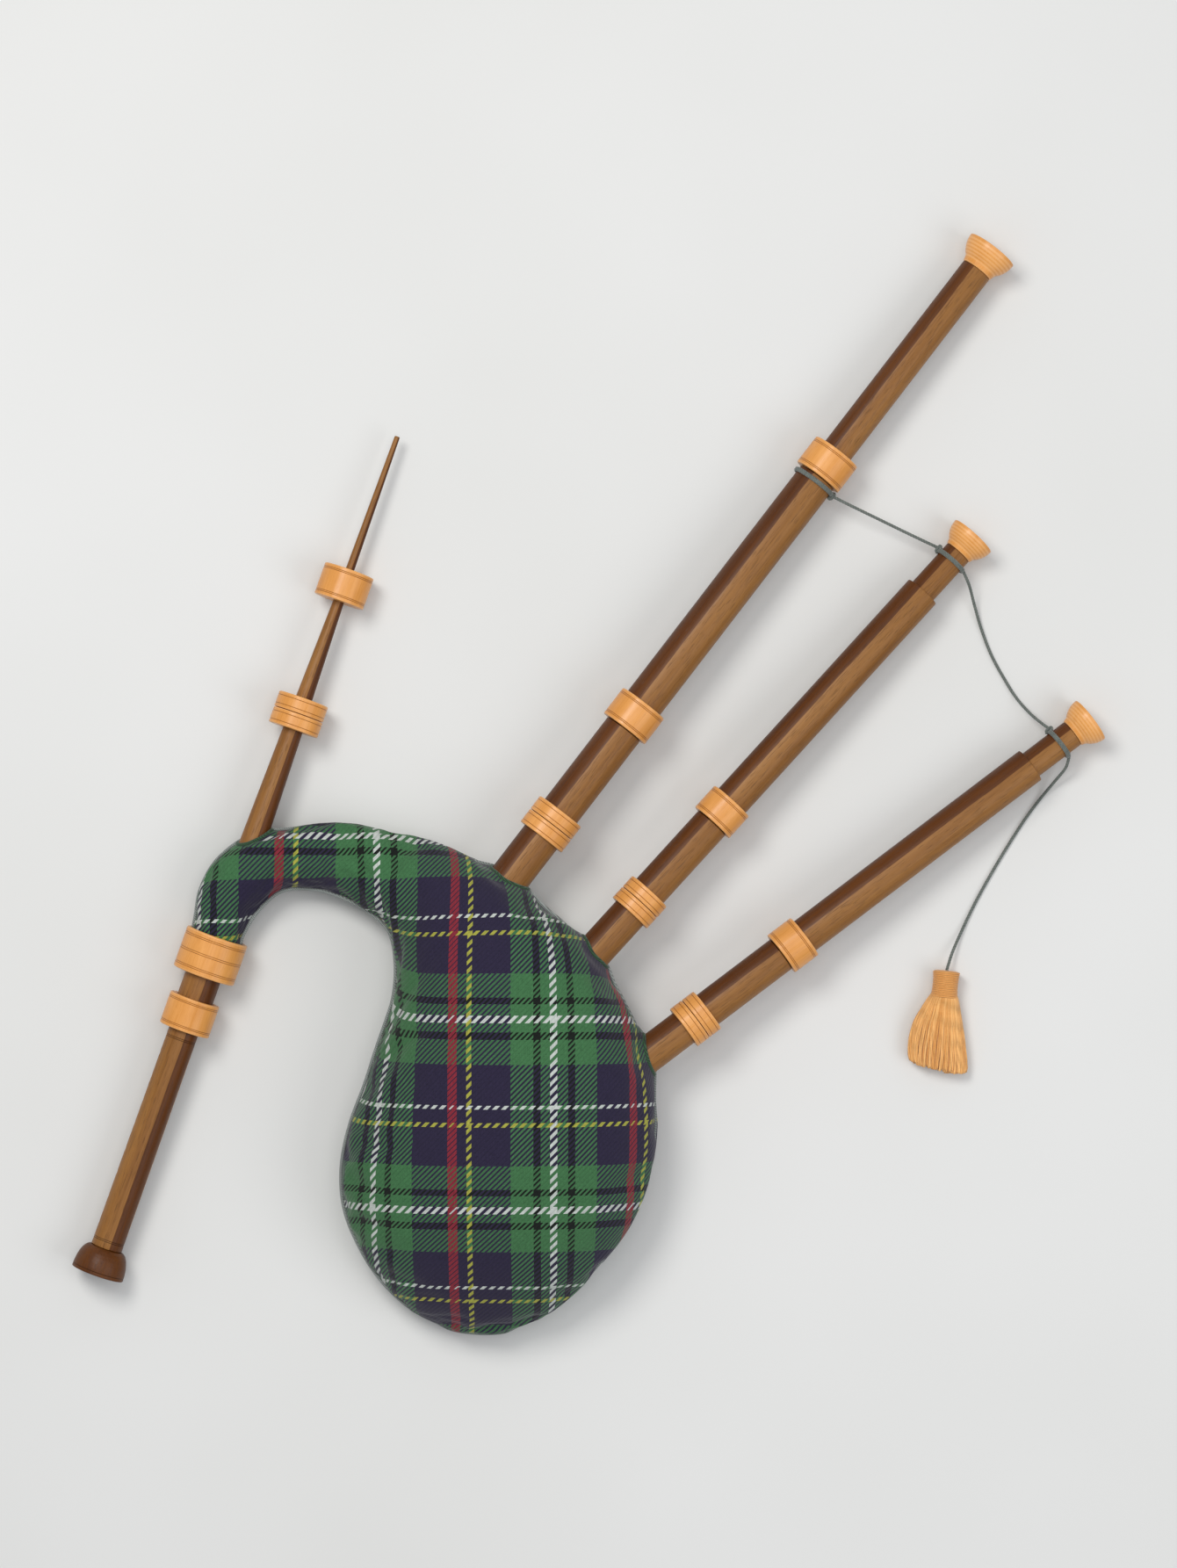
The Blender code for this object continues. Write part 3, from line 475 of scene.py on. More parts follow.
def tartan_material():
    """Woollen twill, woven from the sett's warp and weft threads. Its map is in metres on the flat cloth."""
    green, purple, black = rgb(62, 106, 68), rgb(42, 37, 58), rgb(23, 27, 24)
    red, yellow, white = rgb(124, 40, 52), rgb(156, 155, 66), rgb(184, 190, 184)
    warp = [(0, purple, 0), (34.1, red, 0.5), (42.9, purple, 0), (51.7, yellow, 1), (56.4, purple, 0)]
    warp += [(92.8, green, 0), (113.5, black, 0), (120.6, green, 0), (129.8, white, 1), (136.6, green, 0)]
    warp += [(146.5, black, 0), (153.3, green, 0)]
    weft = [(0, purple, 0), (37.7, white, 1), (41.3, purple, 0), (53.8, yellow, 1), (58.2, purple, 0)]
    weft += [(94.6, green, 0), (117.3, black, 0), (123.6, green, 0), (134.0, white, 1), (140.8, green, 0)]
    weft += [(149.6, black, 0), (156.2, green, 0)]
    warp_start, weft_start = -0.1674, -0.2644

    shader = Shader("tartan", {"Sheen Weight": 0.18, "Sheen Roughness": 0.45, "Specular IOR Level": 0.12})
    flat = shader.node("UVMap", {}, "UV", uv_map="cloth")
    u = shader.node("SeparateXYZ", {"Vector": flat}, "X")
    v = shader.node("SeparateXYZ", {"Vector": flat}, "Y")
    warp_colour, warp_line = stripes(shader, shader.minus(u, warp_start), SETT_WARP, warp)
    weft_colour, weft_line = stripes(shader, shader.minus(weft_start, v), SETT_WEFT, weft)

    across = shader.minus(u, v)
    fine = shader.repeated(across, TWILL_STEP)
    coarse = shader.repeated(across, TWILL_STEP * 1.6)
    thin = shader.math("GREATER_THAN", shader.math("MAXIMUM", warp_line, weft_line), 0.75)
    turn = shader.plus(fine, shader.times(thin, shader.minus(coarse, fine)))
    bold = shader.peak(warp_line)
    ridge = shader.plus(shader.peak(turn), shader.times(bold, 0.28))
    warp_on_top = shader.spread(ridge, 0.22, 0.28)
    colour = shader.mix(warp_on_top, weft_colour, warp_colour)

    warp_fleck = shader.grain(flat, (1250, 90, 1), 2, 0.6)
    weft_fleck = shader.grain(flat, (90, 1250, 1), 2, 0.6)
    fleck = shader.mix(warp_on_top, weft_fleck, warp_fleck)
    fuzz = shader.grain(flat, (420, 420, 1), 5, 0.75)
    light = shader.spread(shader.plus(fleck, shader.times(fuzz, 0.6)), 0.5, 1.1, 0.70, 1.28)
    weave = shader.peak(fine)
    # Painted shade: the twill's furrows are darkened to 0.74 of the thread colour.
    furrow_shade = shader.spread(weave, 0.0, 0.12, 0.74, 1.0)
    shade = shader.times(light, furrow_shade)
    shade_colour = shader.node("CombineXYZ", {"X": shade, "Y": shade, "Z": shade})
    shader.colour(shader.mix(1.0, colour, shade_colour, "MULTIPLY"))
    shader.roughness(fuzz, 0.82, 0.98)
    threads = shader.plus(shader.times(fleck, 0.45), shader.times(fuzz, 0.35))
    shader.bump(shader.plus(threads, shader.times(weave, 1.3)), 0.0005, 0.8)
    return shader.material


def cloth_trim_material(name, dark, light):
    """Bias-cut trim: fine slanting ribs."""
    shader = Shader(name, {"Sheen Weight": 0.2, "Specular IOR Level": 0.15})
    place = shader.coordinates("Object")
    fuzz = shader.noise(place, 700.0, 4, 0.7)
    wave = {"Vector": place, "Scale": 260.0, "Distortion": 0.6}
    ribs = shader.node("TexWave", wave, "Fac", bands_direction="DIAGONAL")
    tone = shader.plus(shader.times(ribs, 0.4), shader.times(fuzz, 0.6))
    shader.colour(shader.ramp(tone, [(0.25, dark), (0.7, light)]))
    shader.roughness(fuzz, 0.8, 0.95)
    shader.bump(tone, 0.0003)
    return shader.material


def yarn_material(name, dark, light, bump_scale):
    """Spun yarn or cord: fibres, painted shade in the valleys between the strands, and a random tone for each
    strand.
    """
    shader = Shader(name, {"Sheen Weight": 0.35, "Sheen Roughness": 0.4, "Specular IOR Level": 0.15})
    place = shader.coordinates("Object")
    fibres = shader.noise(place, 1600.0, 4, 0.7)
    fuzz = shader.noise(place, 260.0, 3, 0.6)
    tone = shader.plus(shader.times(fibres, 0.5), shader.times(fuzz, 0.3))
    tone = shader.plus(tone, shader.times(shader.attribute("strand"), 0.35))
    colour = shader.ramp(tone, [(0.30, dark), (0.78, light)])
    # Painted shade: darker in the valleys between strands and between turns.
    valley = shader.times(shader.attribute("recess"), 0.55)
    darker = tuple(c * 0.35 for c in dark[:3]) + (1.0,)
    shader.colour(shader.mix(valley, colour, darker))
    shader.roughness(fibres, 0.78, 0.95)
    shader.bump(fibres, bump_scale)
    return shader.material


def make_materials():
    light, light_2 = rgb(126, 82, 36), rgb(150, 104, 53)
    # dark and dark_2 are the dark wood's own colour, and on the pipes they are also the colour of the painted
    # shade band.
    dark, dark_2 = rgb(76, 38, 7), rgb(98, 54, 13)
    waxed = {"Roughness": 0.8, "Sheen Weight": 0.2}
    hemp = fibre_material("hemp", waxed, (260, 260, 3000), 3, rgb(150, 118, 66), rgb(214, 184, 122), 0.0002)
    hard = {"Roughness": 0.55, "Coat Weight": 0.15}
    cane = fibre_material("cane", hard, (700, 700, 700), 4, rgb(196, 160, 88), rgb(228, 200, 132), 0.0001)
    return {
        "wood": wood_material("pipe_wood", light, light_2, dark, dark_2, True),
        "dark_wood": wood_material("dark_wood", dark, dark_2, dark, dark_2, False),
        "boxwood": boxwood_material(),
        "hemp": hemp,
        "cane": cane,
        "brass": brass_material(),
        "leather": leather_material("leather", rgb(82, 50, 30), rgb(120, 78, 48)),
        "hide": leather_material("hide", rgb(176, 150, 116), rgb(206, 184, 150)),
        "tartan": tartan_material(),
        "piping": cloth_trim_material("piping", rgb(96, 100, 98), rgb(150, 156, 152)),
        "hem": cloth_trim_material("hem", rgb(30, 44, 33), rgb(58, 88, 62)),
        "cord": yarn_material("cord", rgb(92, 98, 93), rgb(160, 167, 160), 0.0002),
        "tassel": yarn_material("tassel", rgb(218, 150, 80), rgb(252, 196, 126), 0.00025),
    }


# ---- mesh helpers ----


def signed_volume(points, quads):
    a, b, c, d = (points[quads[:, k]] for k in range(4))
    return float((np.einsum("ij,ij->i", a, np.cross(b, c)) + np.einsum("ij,ij->i", a, np.cross(c, d))).sum())


def make_mesh(name, points, faces, attributes=None, sharp=None):
    """A smooth-shaded mesh with named values at its points."""
    mesh = bpy.data.meshes.new(name)
    mesh.from_pydata([tuple(p) for p in points], [], [tuple(int(i) for i in f) for f in faces])
    for key, values in (attributes or {}).items():
        layer = mesh.attributes.new(key, "FLOAT", "POINT")
        layer.data.foreach_set("value", np.asarray(values, np.float32))
    mesh.validate()
    mesh.shade_smooth()
    if sharp:
        mesh.set_sharp_from_angle(angle=math.radians(sharp))
    return mesh


def wear(mesh, material):
    mesh.materials.clear()
    mesh.materials.append(materials[material])


def add_piece(name, mesh, material, body, matrix=None, nodes=()):
    """Places a piece, gives it its material and body, and lets it stand for CAD nodes."""
    piece = add_object(name, mesh)
    wear(mesh, material)
    if matrix is not None:
        piece.matrix_world = matrix
    if body:
        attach(piece, body)
    if nodes:
        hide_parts(*nodes)
    return piece


def grid_faces(rings, points, close_along=False):
    """Quads between closed rings of points that follow each other."""
    i, j = np.meshgrid(np.arange(rings if close_along else rings - 1), np.arange(points), indexing="ij")
    here, ahead = i * points, (i + 1) % rings * points
    after = (j + 1) % points
    return np.stack([here + j, here + after, ahead + after, ahead + j], axis=-1).reshape(-1, 4)


def curve_point(p0, p1, p2, p3, t):
    """A point between p1 and p2 on the Catmull-Rom curve through the four."""
    bend = (2 * p0 - 5 * p1 + 4 * p2 - p3) * t * t + (3 * p1 - p0 - 3 * p2 + p3) * t**3
    return 0.5 * (2 * p1 + (p2 - p0) * t + bend)


def smooth_route(points, spacing):
    """Points about `spacing` apart along a Catmull-Rom curve through the route's own points."""
    route = [np.array(p, float) for p in points]
    route = [route[0] * 2 - route[1], *route, route[-1] * 2 - route[-2]]
    fine = []
    for i in range(1, len(route) - 2):
        fine += [curve_point(*route[i - 1 : i + 3], step / 32) for step in range(32)]
    fine.append(route[-2])
    return respaced(np.array(fine), spacing)


def respaced(line, spacing):
    lengths = lengths_along(line)
    wanted = np.linspace(0, lengths[-1], max(3, round(lengths[-1] / spacing) + 1))
    return np.stack([np.interp(wanted, lengths, line[:, k]) for k in range(3)], axis=1)


def lengths_along(line):
    return np.concatenate([[0], np.cumsum(np.linalg.norm(np.diff(line, axis=0), axis=1))])


def unit(vectors):
    return vectors / np.linalg.norm(vectors, axis=-1, keepdims=True)


def placed(points, matrix):
    matrix = np.array(matrix)
    return points @ matrix[:3, :3].T + matrix[:3, 3]


def carried_frames(line):
    """Two unit vectors across the line at each of its points, carried along it without twisting."""
    ahead = unit(np.gradient(line, axis=0))
    side = np.cross(ahead[0], (0, 0, 1.0))
    if np.linalg.norm(side) < 0.1:
        side = np.cross(ahead[0], (1.0, 0, 0))
    sides = []
    for direction in ahead:
        side = unit(side - direction * (side @ direction))
        sides.append(side)
    return np.array(sides), np.cross(ahead, sides)


def rings_round(line, sides, ups, radii, points):
    """Rings of points round a line, each in the plane of its own two cross vectors."""
    angles = np.arange(points) * math.tau / points
    across = np.cos(angles)[:, None] * sides[:, None] + np.sin(angles)[:, None] * ups[:, None]
    return line[:, None] + np.asarray(radii)[..., None] * across


def turned_out(mesh):
    """Turns all faces outwards."""
    work = bmesh.new()
    work.from_mesh(mesh)
    bmesh.ops.recalc_face_normals(work, faces=work.faces)
    work.to_mesh(mesh)
    work.free()
    return mesh


def end_faces(rings, points, first=0):
    """The two flat ends of a tube of rings that starts at the point `first`."""
    last = first + (rings - 1) * points
    return [tuple(range(first + points - 1, first - 1, -1)), tuple(range(last, last + points))]


def tube_mesh(name, rings, attributes=None, closed=False):
    """A tube of rings with flat ends, or one that runs into itself."""
    count, points = rings.shape[:2]
    faces = [tuple(f) for f in grid_faces(count, points, close_along=closed)]
    if not closed:
        faces += end_faces(count, points)
    return turned_out(make_mesh(name, rings.reshape(-1, 3), faces, attributes))


# ---- turned pieces ----


def pipe_matrix(name):
    """The frame of a pipe: Z along it, X level."""
    start, heading, fall = PIPES[name]
    angle = math.radians(heading)
    along = Vector((math.cos(angle), math.sin(angle), -fall)).normalized()
    level = Vector((along.y, -along.x, 0.0)).normalized()
    turn = Matrix((level, along.cross(level), along)).transposed().to_4x4()
    return Matrix.Translation(Vector(start) + CENTRE) @ turn


def node_profile(node, pipe):
    """A turned CAD node's closed profile, read off the edges that lie in its YZ plane at positive Y."""
    mesh = frame["nodes"][node].data
    to_pipe = matrices[pipe].inverted()
    keys = {}
    for i, vertex in enumerate(mesh.vertices):
        p = to_pipe @ vertex.co / MM
        if abs(p.x) < 0.03 and p.y > 0:
            keys[i] = (round(p.z, 2), round(p.y, 2))
    links = {key: set() for key in keys.values()}
    for edge in mesh.edges:
        a, b = (keys.get(k) for k in edge.vertices)
        if a and b and a != b and a[0] != b[0]:
            links[a].add(b)
            links[b].add(a)
    links = {key: found for key, found in links.items() if found}
    loose = {}
    for key, found in links.items():
        if len(found) == 1:
            loose.setdefault(key[0], []).append(key)
    for found in loose.values():
        found.sort(key=lambda key: key[1])
        for a, b in zip(found[::2], found[1::2]):
            links[a].add(b)
            links[b].add(a)
    first = min(links)
    loop, before, here = [first], None, first
    while True:
        ahead = [key for key in links[here] if key != before]
        if not ahead:
            raise ValueError(f"{node}: its profile isn't closed at {here}")
        before, here = here, min(ahead) if before is None else ahead[0]
        if here == first:
            return loop
        loop.append(here)


def rounded(profile, radius, steps=4):
    """The profile with its corners rounded: rows of (station, radius, share of a worn edge)."""
    rows = []
    count = len(profile)
    for i in range(count):
        before, here, after = (np.array(profile[(i + k) % count][:2], float) for k in (-1, 0, 1))
        back, forward = unit(before - here), unit(after - here)
        if back @ forward < -0.9995:
            rows.append((*here, 0.0))
            continue
        reach = min(radius, ROUNDED_SHARE * min(math.dist(before, here), math.dist(after, here)))
        start, end = here + back * reach, here + forward * reach
        for step in range(steps + 1):
            t = step / steps
            place = start * (1 - t) ** 2 + here * 2 * t * (1 - t) + end * t * t
            rows.append((*place, math.sin(math.pi * t)))
    return rows


def scribed(rows, stations, least_radius):
    """Adds fine grooves at these stations of the outside: rows of (station, radius, edge, recess)."""
    made, width, count = [], SCRIBED_WIDTH, len(rows)
    for i in range(count):
        here, after = rows[i], rows[(i + 1) % count]
        made.append((*here, 0.0))
        if min(here[1], after[1]) < least_radius or abs(after[0] - here[0]) < width * 1.5:
            continue
        low, high = sorted((here[0], after[0]))
        inside = [s for s in stations if low + width * 0.6 < s < high - width * 0.6]
        for station in sorted(inside, reverse=bool(after[0] < here[0])):
            direction = 1 if after[0] > here[0] else -1
            for offset, share in ((-0.5, 0.0), (-0.28, 0.75), (0.0, 1.0), (0.28, 0.75), (0.5, 0.0)):
                place = station + direction * offset * width
                t = (place - here[0]) / (after[0] - here[0])
                radius = here[1] + (after[1] - here[1]) * t - SCRIBED_DEPTH * share
                made.append((place, radius, 0.0, share))
    return made


def spun_mesh(name, rows, side_sign, segments=TURN_SEGMENTS):
    """Rows of (station, radius, edge, recess) turned about Z. `side` is a point's place across the pipe."""
    rows = np.array(rows, float)
    angles = np.arange(segments) * math.tau / segments
    radii = rows[:, 1, None] * MM
    heights = np.repeat(rows[:, 0, None] * MM, segments, axis=1)
    points = np.stack([radii * np.cos(angles), radii * np.sin(angles), heights], axis=-1).reshape(-1, 3)
    faces = grid_faces(len(rows), segments, close_along=True)
    if signed_volume(points, faces) < 0:
        faces = faces[:, ::-1]
    values = {
        "side": side_sign * points[:, 0] / (rows[:, 1].max() * MM),
        "edge": np.repeat(rows[:, 2], segments),
        "recess": np.repeat(rows[:, 3], segments),
    }
    return make_mesh(name, points, faces, values, SHARP_ANGLE)


def node_pipe(node):
    if node.startswith(("neck_collar", "chanter")):
        return "chanter"
    if node.startswith(("mouthpiece", "valve")):
        return "blowpipe"
    return next(pipe for pipe in PIPES if node.startswith(pipe))


def shaded_side(pipe):
    """The painted shade band is on the side of each pipe that this sign of its X points to."""
    return 1 if pipe == "blowpipe" else -1


def groove_stations(node, low, high):
    """Where a turner would scribe lines: near both ends of a mount, and near the shoulders of the wood."""
    if node.endswith("_bell"):
        return [high - 3.2]
    if node == "chanter_sole":
        return [high - 3.4, high - 5.0]
    insets = ()
    if node.endswith(("_ferrule", "_mount")):
        insets = (3.6, 5.0) if high - low > 20 else (3.6,)
    elif node == "neck_collar":
        insets = (5.0, 6.6, (high - low) / 2 - 0.9)
    return [low + inset for inset in insets] + [high - inset for inset in insets]


def windings(low, high, outer, depth, turns, steps, waist=0.0):
    """Rows for the outside of close round turns of yarn, drawn in by `waist` half way."""
    rows = []
    for i in range(turns * steps + 1):
        share = i / (turns * steps)
        valley = 1 - abs(math.sin(math.pi * i / steps))
        radius = outer - waist * math.sin(math.pi * share) - depth * valley
        rows.append((low + (high - low) * share, radius, 0, valley))
    return rows


def add_spun(node, suffix, mesh):
    """Puts a turned piece in the place of its CAD node, on the same body."""
    slot_name, body = node_slots[node], frame["nodes"][node]["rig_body"]
    add_piece(node + suffix, mesh, slot_name, body, matrices[node_pipe(node)], [node])


def add_turned(node):
    pipe = node_pipe(node)
    profile = node_profile(node, pipe)
    stations = [row[0] for row in profile]
    widest = max(row[1] for row in profile)
    slot_name = node_slots[node]
    corner = {"boxwood": 1.1, "wood": 0.7, "dark_wood": 0.9}.get(slot_name, 0.3)
    if node.endswith("_bell"):
        corner = 2.4
    rows = rounded(profile, corner)
    grooves = groove_stations(node, min(stations), max(stations))
    rows = scribed(rows, grooves, widest * 0.8)
    add_spun(node, "_turned", spun_mesh(node + "_turned", rows, shaded_side(pipe)))


def add_hemp(node):
    """A close winding of waxed hemp: the sleeve's outside as round turns."""
    profile = node_profile(node, node_pipe(node))
    (low, inner), (high, outer) = np.min(profile, axis=0), np.max(profile, axis=0)
    turn_width, turn_depth, steps = 0.75, 0.22, 5
    rows = windings(low, high, outer, turn_depth, round((high - low) / turn_width), steps)
    rows = [(low, inner, 0, 0), *rows, (high, inner, 0, 0)]
    add_spun(node, "_wound", spun_mesh(node + "_wound", rows, 1, 40))


def add_chanter_body():
    """The chanter with its finger holes, thumb hole and tone holes cut through one wall each."""
    node, rims = "chanter_body", [84.0, 85.6, 290.0, 291.6]
    rows = scribed(rounded(node_profile(node, "chanter"), 0.7), rims, 12.0)
    # -1 puts the chanter's painted shade band on its -X side, as shaded_side gives for the chanter.
    body = add_object("blank", spun_mesh("blank", rows, -1))
    cutters = []
    radius, reach = FINGER_HOLE_R * MM, 0.030
    holes = [(s, 1) for s in (*FINGER_HOLES, TONE_HOLE)] + [(THUMB_HOLE, -1), (TONE_HOLE, -1)]
    for station, side in holes:
        cutter = bmesh.new()
        place = Matrix.Translation((side * reach / 2, 0, station * MM))
        place = place @ Matrix.Rotation(side * math.pi / 2, 4, "Y")
        shape = {"radius1": radius, "radius2": radius, "depth": reach, "matrix": place}
        bmesh.ops.create_cone(cutter, cap_ends=True, segments=32, **shape)
        mesh = bpy.data.meshes.new("cutter")
        cutter.to_mesh(mesh)
        cutter.free()
        tool = add_object("cutter", mesh)
        cutters.append(tool)
        boolean = body.modifiers.new("hole", "BOOLEAN")
        boolean.operation = "DIFFERENCE"
        boolean.solver = "EXACT"
        boolean.object = tool
    bpy.context.view_layer.update()
    drilled = bpy.data.meshes.new_from_object(body.evaluated_get(bpy.context.evaluated_depsgraph_get()))
    for tool in [body, *cutters]:
        bpy.data.objects.remove(tool)
    drilled.name = node + "_turned"
    drilled.shade_smooth()
    drilled.set_sharp_from_angle(angle=math.radians(32))
    add_spun(node, "_turned", drilled)


def add_turned_pieces():
    for node in sorted(frame["nodes"]):
        slot_name = node_slots[node]
        if node == "chanter_body":
            add_chanter_body()
        elif slot_name in ("wood", "dark_wood", "boxwood"):
            add_turned(node)
        elif slot_name == "hemp":
            add_hemp(node)
        elif slot_name in ("cane", "brass", "leather"):
            wear(frame["nodes"][node].data, slot_name)


# ---- the bag ----


def bag_rings():
    """Rings round the bag from the neck to its tip, as an array of (ring, point, xyz). Point 0 and the one
    opposite are on the seam, the first half is on top."""
    outer = np.array([(c[0], c[1], c[4]) for c in BAG_CHORDS])
    inner = np.array([(c[2], c[3], c[5]) for c in BAG_CHORDS])
    last = len(BAG_CHORDS) - 1
    rings = []
    for i in range(COVER_RINGS):
        along = i * last / (COVER_RINGS - 1)
        k = min(int(along), last - 1)
        t = along - k
        near = np.clip(np.arange(k - 1, k + 3), 0, last)
        rings.append(bag_ring(*(curve_point(*line[near], t) for line in (outer, inner))))
    base = rings[-1]
    middle = base.mean(axis=0)
    tip = np.array(BAG_TIP + CENTRE)
    for turn in (0.25, 0.5, 0.72, 0.9):
        angle = turn * math.pi / 2
        centre = middle + (tip - middle) * math.sin(angle)
        rings.append(centre + (base - middle) * math.cos(angle))
    return np.array(rings)


def bag_ring(outer, inner):
    top, waist = outer[2], inner[2]
    middle = (outer[:2] + inner[:2]) / 2
    half = (outer[:2] - inner[:2]) / 2
    bottom = max(0.0, 2 * waist - top * 1.02)
    ring = []
    for j in range(COVER_POINTS):
        angle = math.tau * j / COVER_POINTS
        across, up = math.cos(angle), math.sin(angle)
        height = waist + (top - waist) * up if up >= 0 else waist + (waist - bottom) * up
        if up < 0 and waist - bottom < top - waist:
            height = flattened(waist + (waist - bottom) * 1.18 * up, bottom)
        ring.append((*(middle + half * across), height))
    return np.array(ring) + np.array(CENTRE)


def flattened(height, ground, softness=0.004):
    """The height kept above the ground with a soft bend instead of a crease."""
    above = (height - ground) / softness
    if above > 6:
        return height
    return ground + softness * math.log1p(math.exp(above)) - softness * math.log(2) * math.exp(-abs(above))


def cloth_map(rings, points):
    """Flat places in metres for one side of the cover, whose seams are the first and last of `points`. The
    distances along and across the crown are mostly the cloth's own, and it is unturned at mid-belly."""
    strip = rings[:, points]
    crown = strip.shape[1] // 2
    ridge = strip[:, crown]
    steps = np.diff(ridge, axis=0)
    flat_steps = np.linalg.norm(steps[:, :2], axis=1)
    stretch = np.linalg.norm(steps, axis=1) / np.maximum(flat_steps, 1e-6)
    moves = steps[:, :2] * np.minimum(stretch, 2.5)[:, None]
    middle_ring = int(len(rings) * 0.62)
    line = np.concatenate([[np.zeros(2)], np.cumsum(moves, axis=0)])
    line += ridge[middle_ring, :2] - line[middle_ring]
    along = np.array([lengths_along(ring) for ring in strip])
    along -= along[:, crown, None]
    direction = unit(strip[:, -1, :2] - strip[:, 0, :2])
    cloth = line[:, None] + direction[:, None] * along[..., None]
    own_share = 0.7  # the rest is what is seen from straight above
    return cloth * own_share + strip[..., :2] * (1 - own_share)


def blurred(field, passes):
    """A field on the cover's rings, smoothed along and round them."""
    for _ in range(passes):
        around = (np.roll(field, 1, axis=1) + np.roll(field, -1, axis=1)) / 2
        padded = np.concatenate([field[:1], field, field[-1:]])
        lengthwise = (padded[:-2] + padded[2:]) / 2
        field = field * 0.4 + around * 0.3 + lengthwise * 0.3
    return field


def held_shares(rings):
    """How far each point of the cover is held in place: 1 at the seam, the neck's end and each stock."""
    shares = np.zeros(rings.shape[:2])
    margin, reach = 2.5, 40  # mm outside the stock's wood, and along it from where it starts
    shares[:, [0, HALF_ROUND]] = 1
    shares[:4] = 1
    for pipe, radius in STOCK_RADII.items():
        from_axis, station, _ = pipe_places(rings, pipe)
        shares[(from_axis < radius + margin) & (abs(station) < reach)] = 1
    return shares


def pipe_places(points, pipe):
    """Distance from a pipe's axis, station along it and angle round it, in millimetres and radians."""
    x, y, z = np.moveaxis(placed(points, matrices[pipe].inverted()) / MM, -1, 0)
    return np.hypot(x, y), z, np.arctan2(y, x)


def wrinkled(rings):
    """Lets the cloth, cut larger than the bag, settle under the bag's pressure, and keeps its wrinkles."""
    mesh = make_mesh("settling", rings.reshape(-1, 3), grid_faces(*rings.shape[:2]))
    cover = add_object("settling", mesh)
    group = cover.vertex_groups.new(name="held")
    for i, share in enumerate(held_shares(rings).ravel()):
        if share:
            group.add([i], float(share), "REPLACE")
    cloth = cover.modifiers.new("cloth", "CLOTH")
    for key, value in CLOTH_SETTINGS.items():
        setattr(cloth.settings, key, value)
    cloth.settings.vertex_group_mass = "held"
    cloth.settings.effector_weights.gravity = 0
    cloth.collision_settings.use_collision = False
    cloth.point_cache.frame_start = 1
    cloth.point_cache.frame_end = SETTLING_FRAMES
    for step in range(SETTLING_FRAMES):
        scene.frame_set(step + 1)
    evaluated = cover.evaluated_get(bpy.context.evaluated_depsgraph_get())
    settled = np.empty(len(mesh.vertices) * 3, np.float32)
    evaluated.data.vertices.foreach_get("co", settled)
    scene.frame_set(1)
    bpy.data.objects.remove(cover)
    moved = settled.reshape(rings.shape).astype(float) - rings
    slow = blurred(moved, 30)
    kept = (moved - slow) + slow * 0.25
    size = np.linalg.norm(kept, axis=-1, keepdims=True)
    return rings + kept * np.minimum(1, DEEPEST_WRINKLE / np.maximum(size, 1e-9))


def gathered(rings):
    """Draws the cloth up against each stock, with small pleats round it."""
    shaped = rings.copy()
    for pipe, radius in STOCK_RADII.items():
        from_axis, station, angle = pipe_places(rings, pipe)
        reach, lift, pleat, pleats = radius * 1.1, radius * 0.28, 0.9, 11
        near = np.clip(1 - (from_axis - radius) / reach, 0, 1) * (abs(station) < 60)
        axis = np.array(matrices[pipe])[:3, 2]
        ripple = pleat * np.cos(pleats * angle) * near * (1 - near) * 4
        shaped += ((lift * near**2 + ripple) * MM)[..., None] * axis
    return shaped


def bag_shell(rings):
    """Points and faces of a bag of rings: open at the neck, closed at the tip, a hole at each stock."""
    points = np.vstack([rings.reshape(-1, 3), rings[-1].mean(axis=0)])
    tip = len(points) - 1
    last_ring = [tip - COVER_POINTS + j for j in range(COVER_POINTS)]
    fan = [(a, b, tip) for a, b in zip(last_ring, last_ring[1:] + last_ring[:1])]
    inside = np.zeros(len(points), bool)
    margin, reach = 1.2, 45  # mm inside the stock's wood, and along it
    for pipe, radius in STOCK_RADII.items():
        from_axis, station, _ = pipe_places(points, pipe)
        inside |= (from_axis < radius - margin) & (abs(station) < reach)
    faces = grid_faces(*rings.shape[:2])
    return points, [tuple(f) for f in faces if not inside[f].all()] + fan


def add_wall(piece, thickness):
    wall = piece.modifiers.new("wall", "SOLIDIFY")
    wall.thickness = thickness
    wall.offset = -1.0


def add_cover():
    rings = bag_rings()
    top_map = cloth_map(rings, np.arange(HALF_ROUND + 1))
    under_map = cloth_map(rings, np.arange(HALF_ROUND, COVER_POINTS + 1) % COVER_POINTS)
    tip_place = (top_map[-1].mean(axis=0) + under_map[-1].mean(axis=0)) / 2
    shaped = gathered(wrinkled(rings))
    shaped[..., 2] = np.maximum(shaped[..., 2], TABLE_GAP)
    mesh = make_mesh("cover", *bag_shell(shaped))
    layer = mesh.uv_layers.new(name="cloth")
    for polygon in mesh.polygons:
        on_top = 0 < max(v % COVER_POINTS for v in polygon.vertices) <= HALF_ROUND
        for loop in polygon.loop_indices:
            i, j = divmod(mesh.loops[loop].vertex_index, COVER_POINTS)
            if i == len(shaped):
                layer.data[loop].uv = tip_place
            elif on_top:
                layer.data[loop].uv = top_map[i, j]
            else:
                layer.data[loop].uv = under_map[i, (j - HALF_ROUND) % COVER_POINTS]
    cover = add_piece("bag_cover_cloth", mesh, "tartan", "root", nodes=["bag_cover"])
    add_wall(cover, COVER_WALL)
    fine = cover.modifiers.new("fine", "SUBSURF")
    fine.levels = fine.render_levels = 1
    return shaped, cover


